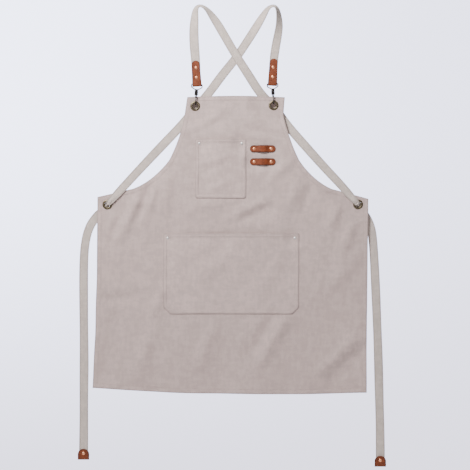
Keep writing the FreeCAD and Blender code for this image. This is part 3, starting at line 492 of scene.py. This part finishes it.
def drape(x, z):
    """How far the cloth stands in front of its flat place, in metres: it only comes forward."""
    x = np.asarray(x, dtype=float)
    z = np.asarray(z, dtype=float)
    lower = smooth_step(-z, 0.55, 0.96)
    swing = x + 0.05 * np.sin((z + 0.5) * 4.0)
    pleats = np.sin(TAU * swing / 0.245 + 0.7) * 1.9 + np.sin(TAU * swing / 0.148 + 2.1) * 1.0
    body = smooth_step(-z, 0.24, 0.50) * 0.6 + 0.4
    waves = 1.7 * ripples(x, z * 0.55, 0.170, 3) + 0.55 * ripples(x, z * 0.8, 0.068, 5)
    crumple = 0.42 * ripples(x, z * 0.8, 0.041, 6) + 0.26 * ripples(x, z * 0.8, 0.023, 8)
    total = lower * pleats + body * waves + crumple
    for start, end, width, height in FOLDS:
        total = total + FOLD_DEPTH * fold(x, z, start, end, width, height)
    # a deep valley flattens out gently, because the cloth can't go behind its flat place
    ahead = FORWARD + total
    soft = np.where(ahead > LEAST, ahead, LEAST * np.exp((np.minimum(ahead, LEAST) - LEAST) / LEAST))
    return soft * calm(x, z) * MM


def wander(x, z):
    """Small sideways movement of the cloth, so that no edge is ruler straight."""
    free = calm(x, z) * MM
    return ripples(x, z, 0.16, 11) * 0.9 * free, ripples(x, z, 0.21, 12) * 0.8 * free


# ------------------------------------------------------------------ cloth patches


def toggle_edge(edges, start, end):
    """Add a directed edge, or drop its twin: what is left at the end is the border."""
    if (end, start) in edges:
        del edges[(end, start)]
    else:
        edges[(start, end)] = True


def cad_loops(node):
    """The outline and holes of a flat CAD node's front face, as (x, z) loops."""
    mesh = frame["nodes"][node].data
    edges = {}
    for polygon in mesh.polygons:
        if polygon.normal.y > -0.95:
            continue
        keys = [(round(mesh.vertices[i].co.x, 6), round(mesh.vertices[i].co.z, 6)) for i in polygon.vertices]
        for start, end in zip(keys, keys[1:] + keys[:1]):
            toggle_edge(edges, start, end)
    following = {start: end for start, end in edges}
    loops = []
    while following:
        start, here = next(iter(following.items()))
        loop = [start]
        del following[start]
        while here != start and here in following:
            loop.append(here)
            here = following.pop(here)
        loops.append(np.array(loop))
    return sorted(loops, key=lambda loop: -np.ptp(loop[:, 0]))


CORNER_ANGLE = math.radians(12)  # a loop that turns more than this has a corner there


def resample(loop, step):
    """A closed loop with its corners kept and even points between them."""
    turned = []
    count = len(loop)
    for i in range(count):
        a = loop[i] - loop[i - 1]
        b = loop[(i + 1) % count] - loop[i]
        if abs(math.atan2(a[0] * b[1] - a[1] * b[0], a @ b)) > CORNER_ANGLE:
            turned.append(i)
    points = []
    for first, last in zip(turned, turned[1:] + [turned[0] + count]):
        run = np.array([loop[i % count] for i in range(first, last + 1)])
        travel = travel_along(run)
        pieces = max(2, round(travel[-1] / step))
        points.append(sample(np.linspace(0, travel[-1], pieces + 1)[:-1], travel, run))
    return np.concatenate(points)


CHUNK = 4000


def edge_distance(points, loop):
    """Each point's distance to a closed loop, some of the points at a time to keep the arrays small."""
    ends = np.roll(loop, -1, axis=0)
    way = ends - loop
    size = (way ** 2).sum(axis=1)
    nearest = np.empty(len(points))
    for first in range(0, len(points), CHUNK):
        chunk = points[first:first + CHUNK]
        rel = chunk[:, None, :] - loop[None]
        part = np.clip((rel * way).sum(axis=2) / size, 0, 1)
        gap = rel - part[..., None] * way
        nearest[first:first + CHUNK] = np.sqrt((gap ** 2).sum(axis=2).min(axis=1))
    return nearest


def inside(points, loop):
    """Even-odd test of points against a closed loop."""
    ends = np.roll(loop, -1, axis=0)
    odd = np.zeros(len(points), dtype=bool)
    for a, b in zip(loop, ends):
        if a[1] == b[1]:
            continue
        spans = (points[:, 1] >= min(a[1], b[1])) & (points[:, 1] < max(a[1], b[1]))
        cross = a[0] + (points[:, 1] - a[1]) * (b[0] - a[0]) / (b[1] - a[1])
        odd ^= spans & (points[:, 0] < cross)
    return odd


def inset(loop, distance):
    """The loop moved inwards; points that would come nearer to the edge are left out."""
    way = unit(np.roll(loop, -1, axis=0) - np.roll(loop, 1, axis=0))
    normal = np.column_stack((-way[:, 1], way[:, 0]))
    if not inside(loop[:1] + normal[:1] * 0.1 * MM, loop)[0]:
        normal = -normal
    moved = loop + normal * distance
    true = edge_distance(moved, loop)
    keep = (np.abs(true - distance) < distance * 0.04 + 2e-5) & inside(moved, loop)
    return moved[keep]


class Patch:
    """A flat-cut piece of canvas, meshed finely at its hem."""

    def __init__(self, loop, holes, rings, spacing):
        self.loop = loop
        points = [loop] + holes + [inset(loop, ring) for ring in rings]
        low, high = loop.min(axis=0), loop.max(axis=0)
        grid = np.stack(np.meshgrid(np.arange(low[0], high[0], spacing),
                                    np.arange(low[1], high[1], spacing)), axis=-1).reshape(-1, 2)
        grid[:, 0] += (np.round((grid[:, 1] - low[1]) / spacing) % 2) * spacing / 2
        grid = grid[inside(grid, loop)]
        grid = grid[edge_distance(grid, loop) > rings[-1] + spacing * 0.5]
        for hole in holes:
            grid = grid[edge_distance(grid, hole) > spacing * 0.5]
            grid = grid[~inside(grid, hole)]
        points.append(grid)
        seams = []
        start = 0
        for closed in [loop] + holes:
            count = len(closed)
            seams += [(start + i, start + (i + 1) % count) for i in range(count)]
            start += count
        flat = [Vector(point) for point in np.concatenate(points)]
        made = delaunay_2d_cdt(flat, seams, [], 0, 1e-7, False)
        self.flat = np.array([tuple(point) for point in made[0]])
        faces = np.array([face for face in made[2] if len(face) == 3])
        centres = self.flat[faces].mean(axis=1)
        keep = inside(centres, loop)
        for hole in holes:
            keep &= ~inside(centres, hole)
        faces = faces[keep]
        a, b, c = (self.flat[faces[:, k]] for k in range(3))
        turned = (b[:, 0] - a[:, 0]) * (c[:, 1] - a[:, 1]) - (b[:, 1] - a[:, 1]) * (c[:, 0] - a[:, 0]) < 0
        faces[turned] = faces[turned][:, ::-1]
        self.faces = faces
        self.edge = edge_distance(self.flat, loop)

    def build(self, name, front, back, material):
        """The closed cloth between two surfaces y(x, z, edge distance)."""
        x, z = self.flat.T
        shift_x, shift_z = wander(x, z)
        count = len(x)
        tops = np.column_stack((x + shift_x, front(x, z, self.edge), z + shift_z))
        backs = np.column_stack((x + shift_x, back(x, z, self.edge), z + shift_z))
        rims = {}
        for face in self.faces.tolist():
            for start, end in zip(face, face[1:] + face[:1]):
                toggle_edge(rims, start, end)
        faces = self.faces.tolist()
        faces += [[count + i for i in reversed(face)] for face in self.faces.tolist()]
        faces += [[end, start, count + start, count + end] for start, end in rims]
        return mesh_object(name, np.concatenate((tops, backs)), faces, material,
                           edge=np.concatenate((self.edge, self.edge)))


def rounding(edge, radius):
    """0.25 at a folded edge, rising to 1 a radius inside it."""
    part = np.clip(edge / radius, 0, 1)
    return 0.25 + 0.75 * np.sqrt(1 - (1 - part) ** 2)


def groove(edge, place, width):
    return np.exp(-((edge - place) / width) ** 2)


def band(edge, place, soft):
    """1 from the edge to a place inside it, then 0."""
    return 1 - smooth_step(edge, place - soft, place + soft)


# where the meshes have rows of points round the hem: closest together at its edge and its stitches
PANEL_RINGS = tuple(ring * MM for ring in (0.35, 1.0, 2.2, 4.5, 7.5, 9.8, 10.5, 11.0, 11.5, 12.2, 13.4, 16))
POCKET_RINGS = tuple(ring * MM for ring in (0.35, 1.0, 2.0, 3.2, 5, 7, 7.6, 8.0, 8.4, 9.2, 10.6, 13))


def puckers(x, z):
    return 0.5 + 0.5 * ripples(x, z, 0.011, 21)


def panel_front(x, z, edge):
    thick = CLOTH / 2 * rounding(edge, 1.0 * MM)
    hem = band(edge, PANEL_STITCH + 1 * MM, 1.2 * MM) * (0.28 + 0.22 * puckers(x, z)) * MM
    hem = hem * smooth_step(edge, 0, 1.5 * MM)
    dip = 0.42 * MM * groove(edge, PANEL_STITCH, 0.9 * MM)
    return -drape(x, z) - thick - hem + dip


def panel_back(x, z, edge):
    thick = CLOTH / 2 * rounding(edge, 1.0 * MM)
    hem = band(edge, PANEL_STITCH + 1.2 * MM, 0.5 * MM) * 0.9 * MM * smooth_step(edge, 0, 1.0 * MM)
    dip = 0.3 * MM * groove(edge, PANEL_STITCH, 0.9 * MM)
    return -drape(x, z) + thick + hem - dip


panel_loops = cad_loops("main_panel")
panel_loop = resample(panel_loops[0], 4 * MM)
eyelet_holes = [loop for loop in panel_loops[1:] if np.ptp(loop[:, 0]) > 10 * MM]
panel_patch = Patch(panel_loop, eyelet_holes, PANEL_RINGS, 6 * MM)
panel = panel_patch.build("panel_cloth", panel_front, panel_back, canvas)
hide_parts("main_panel")
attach(panel, "root")


class Pocket:
    """A patch pocket that lies on the panel, sewn at its sides and foot."""

    def __init__(self, node, label, slack, corner):
        low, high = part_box(node)
        self.centre = (low[0] + high[0]) / 2
        self.half = (high[0] - low[0]) / 2
        self.top = high[2]
        self.foot = low[2]
        self.slack = slack
        left, right = low[0], high[0]
        self.loop = resample(np.array([
            (left + corner, self.foot), (right - corner, self.foot), (right, self.foot + corner),
            (right, self.top), (left, self.top), (left, self.foot + corner)]), 3.5 * MM)
        patch = Patch(self.loop, [], POCKET_RINGS, 5 * MM)
        self.piece = patch.build(label, self.front, self.back, pocket_canvas)
        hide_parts(node)
        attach(self.piece, "root")

    def lift(self, x, z):
        """The slack that opens the pocket at its mouth."""
        across = np.clip((x - self.centre) / (self.half - 15 * MM), -1, 1)
        down = np.clip((self.top - z) / (self.top - self.foot), 0, 1)
        return self.slack * (1 - across ** 2) ** 1.6 * (1 - smooth_step(down, 0.0, 0.85))

    def back(self, x, z, edge):
        seat = panel_front(x, z, np.full_like(x, 1.0))
        return seat - 0.05 * MM - self.lift(x, z)

    def front(self, x, z, edge):
        mouth = (self.top - z) < 12 * MM
        layers = band(edge, np.where(mouth, 9.5, 8.6) * MM, 0.8 * MM)
        thick = (0.85 + layers * (0.85 + 0.22 * puckers(x, z))) * MM
        dips = 0.55 * groove(edge, POCKET_STITCH, 0.9 * MM) * MM
        sides = smooth_step(self.top - z, 1.5 * MM, 4 * MM)
        dips = dips + 0.48 * groove(edge, 2.2 * MM, 0.8 * MM) * MM * sides
        return self.back(x, z, edge) - thick * rounding(edge, 1.1 * MM) + dips


chest = Pocket("chest_pocket", "chest_pocket_cloth", 4.0 * MM, 4 * MM)
lower = Pocket("lower_pocket", "lower_pocket_cloth", 7.0 * MM, 17 * MM)

# ------------------------------------------------------------------ stitches


THREAD_CORNERS = 5


def thread_bean(radius, length):
    """Rings of one short stitch that dives into the cloth at both ends, along +X."""
    rings = []
    for share, girth, sink in ((-0.5, 0.35, 1.1), (-0.3, 0.9, 0.25), (0, 1.0, 0), (0.3, 0.9, 0.25),
                               (0.5, 0.35, 1.1)):
        ring = []
        for corner in range(THREAD_CORNERS):
            angle = TAU * corner / THREAD_CORNERS
            ring.append((share * length, math.cos(angle) * radius * girth,
                         math.sin(angle) * radius * girth - sink * radius))
        rings.append(ring)
    return np.array(rings)


def stitches(name, runs, material, pitch=3.6 * MM, length=2.9 * MM, radius=0.34 * MM):
    """Stitches along runs, each a polyline with the surface's outward normal at its points."""
    bean = thread_bean(radius, length)
    skin = tube_faces(len(bean), THREAD_CORNERS)
    bean = bean.reshape(-1, 3)
    points = []
    faces = []
    for line, normals in runs:
        travel = travel_along(line)
        count = int(travel[-1] / pitch)
        for i in range(count):
            at = (i + 0.5) * travel[-1] / count
            way = sample(at + length / 2, travel, line) - sample(at - length / 2, travel, line)
            way /= np.linalg.norm(way)
            normal = sample(at, travel, normals)
            normal -= way * (normal @ way)
            normal /= np.linalg.norm(normal)
            basis = np.array([way, np.cross(normal, way), normal])
            base = len(points)
            points += list(bean @ basis + sample(at, travel, line) + normal * radius * 0.35)
            faces += [[base + corner for corner in face] for face in skin]
    return mesh_object(name, points, faces, material)


def lift_run(flat, front, edge):
    """A run of (x, z) points raised onto a front surface."""
    x, z = flat.T
    shift_x, shift_z = wander(x, z)
    distance = np.full_like(x, edge)
    line = np.column_stack((x + shift_x, front(x, z, distance), z + shift_z))
    return line, np.tile((0, -1, 0), (len(x), 1)).astype(float)


def closed_run(loop, distance, front):
    flat = inset(loop, distance)
    flat = np.concatenate((flat, flat[:1]))
    return lift_run(flat, front, distance)


def away_from_hardware(run, spots, reach):
    """Cut a run where a piece of hardware covers it."""
    line, normals = run
    clear = np.ones(len(line), dtype=bool)
    for x, z in spots:
        clear &= np.hypot(line[:, 0] - x, line[:, 2] - z) > reach
    starts = np.flatnonzero(np.diff(clear.astype(int)))
    parts = np.split(np.arange(len(line)), starts + 1)
    return [(line[part], normals[part]) for part in parts if clear[part[0]] and len(part) > 3]


EYELET_REACH = 13 * MM  # how near to a centre the seams stop
RIVET_REACH = 3.6 * MM
OUTER_ROW = 2.0 * MM  # the pockets' second row, which holds them to the panel
eyelet_spots = [(spot.x, spot.z) for spot in EYELETS.values()]
hem_rows = away_from_hardware(closed_run(panel_loop, PANEL_STITCH, panel_front), eyelet_spots,
                              EYELET_REACH)
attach(stitches("hem_stitches", hem_rows, seam_thread), "root")
for pocket, label, node in ((chest, "chest_pocket_stitches", "chest_pocket_rivets"),
                            (lower, "lower_pocket_stitches", "lower_pocket_rivets")):
    rows = away_from_hardware(closed_run(pocket.loop, POCKET_STITCH, pocket.front),
                              node_islands(node), RIVET_REACH)
    line, normals = closed_run(pocket.loop, OUTER_ROW, pocket.front)
    below_mouth = line[:, 2] < pocket.top - 3 * MM
    start = int(np.argmin(below_mouth))
    order = np.roll(np.arange(len(line)), -start)
    order = order[below_mouth[order]]
    rows.append((line[order], normals[order]))
    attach(stitches(label, rows, seam_thread), "root")

# ------------------------------------------------------------------ ribbons

# Each route point: x, y, z in metres, width and thickness in millimetres, twist in degrees.
STRAP_FROM_LEFT = (
    (-.0995, 0, -.180, 19, 2.8, 0), (-.1022, 0, -.129, 22, 2.6, 0), (-.1055, 0, -.095, 24, 2, 2),
    (-.1072, 0, -.060, 24, 2, 6), (-.106, 0, -.028, 23, 2, 20), (-.1022, 0, .0105, 22, 2, 66),
    (-.0804, 0, .0105, 22, 2, 76), (-.053, 0, -.026, 22, 2, 28), (-.0335, -.0015, -.059, 22, 2, 3),
    (0, -.0018, -.117, 22, 2, 0), (.0275, 0, -.159, 22, 2, 0), (.061, .007, -.212, 22, 2, 0),
    (.0965, .0128, -.2425, 22, 2, 0), (.1255, .0075, -.287, 22, 2, 0), (.170, .003, -.338, 22, 2, 0),
    (.217, .0005, -.391, 22, 2, 0), (.256, -.0026, -.4325, 21.5, 2, 0), (.285, -.0038, -.465, 18.5, 2.4, 0),
    (.3017, -.0052, -.484, 12.8, 3.4, 0), (.3053, .0052, -.488, 12.8, 3.4, 0))
STRAP_FROM_RIGHT = (
    (.0899, 0, -.178, 19, 2.8, 0), (.0923, 0, -.127, 21, 2.6, 0), (.0975, 0, -.092, 22, 2, -4),
    (.1035, 0, -.062, 22, 2, -18), (.108, 0, -.032, 22, 2, -42), (.1022, 0, .0105, 22, 2, -70),
    (.0818, 0, .0105, 22, 2, -66), (.064, 0, -.018, 22, 2, -32), (.041, .002, -.056, 22, 2, -8),
    (.0005, .0026, -.118, 22, 2, 0), (-.036, .003, -.162, 22, 2, 0), (-.0725, .007, -.212, 22, 2, 0),
    (-.1045, .0128, -.2455, 22, 2, 0), (-.137, .0075, -.287, 22, 2, 0), (-.1865, .003, -.339, 22, 2, 0),
    (-.2365, .0005, -.392, 22, 2, 0), (-.279, -.0026, -.4385, 21.5, 2, 0),
    (-.304, -.0038, -.4655, 18.5, 2.4, 0), (-.3212, -.0052, -.4845, 12.8, 3.4, 0),
    (-.3248, .0052, -.4885, 12.8, 3.4, 0))
TIE_RIGHT = (
    (.3017, -.0052, -.484, 11, 3.2, 0), (.3053, .0052, -.488, 11, 3.2, 0),
    (.3155, .0046, -.502, 17, 2.4, 0), (.328, .0042, -.523, 21.5, 2, 0), (.3376, .0036, -.549, 22, 2, 0),
    (.3418, .003, -.5825, 22, 2, 0), (.3456, .003, -.648, 22, 2, 0), (.350, .0022, -.750, 22, 2, 0),
    (.3542, .002, -.860, 22, 2, 0), (.3566, .002, -.965, 22, 2, 0), (.3592, .002, -1.060, 22, 2, 0),
    (.3594, .002, -1.136, 22, 1.8, 0))
TIE_LEFT = (
    (-.3212, -.0052, -.4845, 11, 3.2, 0), (-.3248, .0052, -.4885, 11, 3.2, 0),
    (-.3355, .0046, -.500, 17, 2.4, 0), (-.352, .0042, -.517, 21.5, 2, 0), (-.371, .0036, -.546, 22, 2, 0),
    (-.3808, .003, -.592, 22, 2, 0), (-.383, .003, -.655, 22, 2, 0), (-.3824, .0022, -.755, 22, 2, 0),
    (-.3812, .002, -.865, 22, 2, 0), (-.3822, .002, -.970, 22, 2, 0), (-.382, .002, -1.050, 22, 2, 0),
    (-.383, .002, -1.118, 22, 1.8, 0))


def spline_line(rows):
    """Points along one NURBS spline through three-number control rows."""
    curve = bpy.data.curves.new("route", "CURVE")
    curve.dimensions = "3D"
    spline = curve.splines.new("NURBS")
    spline.points.add(len(rows) - 1)
    for point, row in zip(spline.points, rows):
        point.co = (*row, 1)
    spline.order_u = 3
    spline.use_endpoint_u = True
    spline.resolution_u = 24
    holder = bpy.data.objects.new("route", curve)
    bpy.context.collection.objects.link(holder)
    bpy.context.view_layer.update()
    seen = holder.evaluated_get(bpy.context.evaluated_depsgraph_get())
    mesh = bpy.data.meshes.new_from_object(seen)
    line = np.array([tuple(vertex.co) for vertex in mesh.vertices])
    bpy.data.meshes.remove(mesh)
    bpy.data.objects.remove(holder, do_unlink=True)
    bpy.data.curves.remove(curve)
    return line


def even_points(line, others, step):
    """A line and the values along it, at even distances."""
    travel = travel_along(line)
    at = np.linspace(0, travel[-1], max(2, round(travel[-1] / step)) + 1)
    return sample(at, travel, line), sample(at, travel, others), at


def strap_frame(route, step=3 * MM):
    """Centre line, direction of width, outward normal, half width and half thickness."""
    line = spline_line([row[:3] for row in route])
    facts = spline_line([row[3:] for row in route])
    line, facts, travel = even_points(line, facts, step)
    way = unit(np.gradient(line, axis=0))
    level = unit(np.cross(way, (0, 1, 0)))
    upright = unit(np.cross(level, way))
    # limp webbing never lies quite flat, and its width isn't quite even
    waver = 2.5 * np.sin(travel / 0.047) + 1.5 * np.sin(travel / 0.021)
    angle = np.radians(facts[:, 2] + waver)[:, None]
    across = level * np.cos(angle) + upright * np.sin(angle)
    normal = unit(np.cross(way, across))
    half = facts[:, 0] * MM / 2 + 0.25 * MM * np.sin(travel / 0.033 + 1)
    thick = facts[:, 1] * MM / 2
    return line, across, normal, half, thick, travel


STRAP_WIDTH = 22 * MM
STATIONS = (0, 0.3, 0.9, 1.8, 2.35, 2.7, 3.05, 3.8, 5.5)  # millimetres in from each edge


def ribbon(name, parts, material, relief=0.16 * MM, seam=STRAP_STITCH, pleat=0.0, edge_round=0.9 * MM):
    """A closed strip round a centre line, with seam grooves by both edges.

    parts are line, across, normal, half width, half thickness and travel.
    """
    points = []
    edges = []
    uvs = []
    for place, side, out, reach, depth, gone in zip(*parts):
        stations = [min(station * MM, reach * 0.95) for station in STATIONS]
        spread = [value - reach for value in stations] + [0.0]
        spread += [reach - value for value in reversed(stations)]
        gather = pleat * (1 - min(1.0, reach / (STRAP_WIDTH / 2)))
        for face in (1, -1):
            row = spread if face > 0 else spread[::-1]
            for offset in row:
                gap = reach - abs(offset)
                part = min(1.0, gap / edge_round)
                body = depth * (0.3 + 0.7 * math.sqrt(1 - (1 - part) ** 2))
                body -= relief * math.exp(-((gap - seam) / (0.6 * MM)) ** 2)
                wave = gather * math.cos(offset / max(reach, 1e-6) * math.pi * 1.5)
                points.append(place + side * offset + out * (face * body + wave))
                edges.append(gap)
                uvs.append((offset, gone))
    rings = len(parts[0])
    faces = tube_faces(rings, len(points) // rings)
    return mesh_object(name, points, faces, material, edge=edges, uv=uvs)


def strap_rows(parts, first, last):
    """Runs of stitches near both edges, on both faces, between two distances along the strap."""
    line, across, normal, half, thick, travel = parts
    keep = (travel >= first) & (travel <= last)
    rows = []
    for side in (-1, 1):
        for face in (-1, 1):
            spot = line + across * (side * (half - STRAP_STITCH))[:, None]
            spot = spot + normal * (face * (thick - 0.14 * MM))[:, None]
            rows.append((spot[keep], (normal * face)[keep]))
    return rows


def path_of(parts):
    return [tuple(point) for point in parts[0]]


def length_of(parts):
    return float(travel_along(parts[0])[-1])


def strap_stitches(name, parts, first, last):
    return stitches(name, strap_rows(parts, first, last), strap_thread, pitch=4 * MM, length=3.1 * MM,
                    radius=0.30 * MM)


PLEAT = 3.0 * MM  # how deep the webbing gathers where an eyelet squeezes it
# where the rows of strap stitches start or stop, in metres from the strap's end there
TAB_END, STRAP_EYELET_END, TIE_EYELET_END, TIP_END = 0.058, 0.045, 0.045, 0.024
# how far above and below its pivot a tie would start and stop bending; the ties are not bent here
BEND_ABOVE, BEND_BELOW = 0.020, 0.060

for label, route in (("strap_from_left", STRAP_FROM_LEFT), ("strap_from_right", STRAP_FROM_RIGHT)):
    parts = strap_frame(route)
    piece = ribbon(label + "_canvas", parts, strap_canvas, pleat=PLEAT)
    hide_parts(label)
    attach(piece, "root")
    whole = length_of(parts)
    sewn = strap_stitches(label + "_stitches", parts, TAB_END, whole - STRAP_EYELET_END)
    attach(sewn, "root")
    tuple(parts[0][0])
    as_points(path_of(parts))

ties = {}
for side, route, down in (("left", TIE_LEFT, "tie_end_left"), ("right", TIE_RIGHT, "tie_end_right")):
    parts = strap_frame(route)
    pivot = joint_place("tie_swing_" + side)
    start = (pivot[0], pivot[1], pivot[2] + BEND_ABOVE)
    piece = ribbon("tie_%s_canvas" % side, parts, strap_canvas, pleat=PLEAT)
    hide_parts("tie_" + side)
    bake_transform(piece)
    whole = length_of(parts)
    sewn = strap_stitches("tie_%s_stitches" % side, parts, TIE_EYELET_END, whole - TIP_END)
    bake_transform(sewn)
    ties[side] = (piece, parts, whole)

# ------------------------------------------------------------------ leather


def strip_frame(path, across, half_widths, thickness):
    """The frame of a leather strip whose width always points one way."""
    sides = np.tile(across, (len(path), 1))
    normal = unit(np.cross(unit(np.gradient(path, axis=0)), sides))
    return path, sides, normal, half_widths, np.full(len(path), thickness / 2), travel_along(path)


def round_end(travel, half, radius, flare=0.0):
    """Half widths along a strip whose two ends are rounded; flare widens its middle."""
    total = travel[-1]
    near = np.minimum(travel, total - travel)
    part = np.clip(1 - near / radius, 0, 1)
    wider = flare * smooth_step(near, radius, total / 2)
    return half - radius + radius * np.sqrt(np.clip(1 - part ** 2, 0.0004, 1)) + wider


def leather_strip(name, path, across, half, radius, thickness, node, body, place=None, flare=0.0):
    """A thick leather strip along a path, standing for one CAD node."""
    travel = travel_along(path)
    ends = np.concatenate((np.geomspace(0.04, 1, 12) * radius, [radius * 1.2]))
    at = np.unique(np.concatenate(([0], ends, np.arange(radius * 1.3, travel[-1] - radius * 1.3, 0.8 * MM),
                                   travel[-1] - ends, [travel[-1]])))
    parts = strip_frame(sample(at, travel, path), across, round_end(at, half, radius, flare), thickness)
    piece = ribbon(name, parts, leather, relief=0.0, edge_round=0.8 * MM)
    if place is not None:
        piece.data.transform(place)
    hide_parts(node)
    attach(piece, body)


def fold_path(offset, low, high, turn_steps=16):
    """Down the front, round the fold at the foot and up the back, in the YZ plane."""
    base = low + offset
    angles = np.linspace(0, math.pi, turn_steps)
    bend = [(0, -offset * math.cos(angle), base - offset * math.sin(angle)) for angle in angles]
    return np.array([(0, -offset, high)] + bend + [(0, offset, high)])


# Each gap is half of the space between the folded strip's two layers.
TAB_LEATHER, TAB_GAP = 2.3 * MM, 1.6 * MM
TAB_HALF, TAB_RADIUS, TAB_FLARE = 10.6 * MM, 10.0 * MM, 1.1 * MM
TAB_LEANS = {"left": -3.8, "right": 3.2}
TAB_HEIGHTS = {"left": 65 * MM, "right": 68 * MM}
EYE_BAR = 1.8 * MM
TIP_LEATHER, TIP_GAP = 1.9 * MM, 1.1 * MM
TIP_HALF, TIP_RADIUS = 14.25 * MM, 13.4 * MM

for side in ("left", "right"):
    low = -EYE_BAR - TAB_GAP - TAB_LEATHER / 2
    path = fold_path(TAB_GAP + TAB_LEATHER / 2, low, low - TAB_LEATHER / 2 + TAB_HEIGHTS[side])
    turn = Matrix.Rotation(math.radians(TAB_LEANS[side]), 4, "Y")
    turn = Matrix.Translation(Vector(joint_place("eye_tilt_" + side))) @ turn
    leather_strip("tab_%s_leather" % side, path, (1, 0, 0), TAB_HALF, TAB_RADIUS, TAB_LEATHER,
                  "leather_tab_" + side, "root", turn, flare=TAB_FLARE)
    tip_low, tip_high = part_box("tie_tip_" + side)
    centre = middle("tie_tip_" + side)
    path = fold_path(TIP_GAP + TIP_LEATHER / 2, tip_low[2] + TIP_LEATHER / 2, tip_high[2])
    path += np.array([centre.x, centre.y, 0])
    leather_strip("tip_%s_leather" % side, path, (1, 0, 0), TIP_HALF, TIP_RADIUS, TIP_LEATHER,
                  "tie_tip_" + side, "tie_end_" + side)

LOOP_LEATHER = 2.0 * MM
LOOP_RADIUS = 8.2 * MM
LOOP_ARCH = 4.4 * MM
for which in ("upper", "lower"):
    low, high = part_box("pen_loop_" + which)
    half = (high[0] - low[0]) / 2
    x = np.linspace(-half, half, 80)
    arch = LOOP_ARCH * (1 - smooth_step(np.abs(x), 3 * MM, 18 * MM))
    path = np.column_stack(((low[0] + high[0]) / 2 + x, -CLOTH / 2 - LOOP_LEATHER / 2 - arch,
                            np.full_like(x, (low[2] + high[2]) / 2)))
    leather_strip("pen_loop_%s_leather" % which, path, (0, 0, 1), (high[2] - low[2]) / 2, LOOP_RADIUS,
                  LOOP_LEATHER, "pen_loop_" + which, "root")

for side in ("left", "right"):
    piece, parts, whole = ties[side]
    tuple(parts[0][1])
    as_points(path_of(parts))

# ------------------------------------------------------------------ pocket sizes, worked out but not used


for pocket, rows in ((chest, "chest_pocket_stitches"), (lower, "lower_pocket_stitches")):
    flat = (float(np.ptp(pocket.loop[:, 0])), float(np.ptp(pocket.loop[:, 1])))

# ------------------------------------------------------------------ stage


def make_floor():
    """A pale floor under the apron; it ends behind it, below what the camera takes in."""
    panel_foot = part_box("main_panel")[0][2]
    level = panel_foot - 0.30
    left, right, front, back = -2.5, 2.5, -3.0, 0.9
    mesh = bpy.data.meshes.new("floor")
    mesh.from_pydata([(left, front, level), (right, front, level), (right, back, level),
                      (left, back, level)], [], [(0, 1, 2, 3)])
    mesh.materials.append(Nodes("floor_paint").finish((0.80, 0.80, 0.81), 0.8))
    floor = bpy.data.objects.new("floor", mesh)
    bpy.context.collection.objects.link(floor)


def area_light(name, place, target, size, power):
    data = bpy.data.lights.new(name, "AREA")
    data.shape = "RECTANGLE"
    data.size, data.size_y = size
    data.energy = power
    lamp = bpy.data.objects.new(name, data)
    bpy.context.collection.objects.link(lamp)
    lamp.location = place
    way = Vector(target) - Vector(place)
    lamp.rotation_euler = way.to_track_quat("-Z", "Y").to_euler()


def studio_world():
    """Soft light from all round, and a bright sweep behind the apron that darkens downwards."""
    world = bpy.data.worlds.new("studio")
    g = Graph(world)
    direction = g.add("ShaderNodeTexCoord")  # in a world, Generated is the way the light comes
    way = g.add("ShaderNodeSeparateXYZ")
    g.link(direction.outputs["Generated"], way.inputs[0])
    top = g.mix(g.span(way.outputs["X"], -0.14, 0.14), BACKDROP_LEFT, BACKDROP_RIGHT)
    sweep = g.mix(g.span(way.outputs["Z"], -0.16, 0.08), BACKDROP_LOW, top)
    colour = g.mix(g.span(way.outputs["Y"], 0.90, 0.975), ROOM, sweep)
    g.link(colour, g.tree.nodes["Background"].inputs["Color"])
    bpy.context.scene.world = world


ROOM = (0.33, 0.33, 0.345)
BACKDROP_LOW = (2.0, 1.95, 2.35)
BACKDROP_LEFT = (4.2, 4.4, 5.7)
BACKDROP_RIGHT = (2.8, 2.85, 3.6)

make_floor()
area_light("key", (-0.72, -1.15, 0.78), (0, 0, 0.1), (0.5, 0.5), 66)
area_light("fill", (1.8, -2.4, 0.4), (0, 0, -0.6), (2.0, 2.4), 5)
area_light("back", (0.5, 3.0, 1.5), (0, 0, -0.5), (2.4, 1.6), 110)
studio_world()
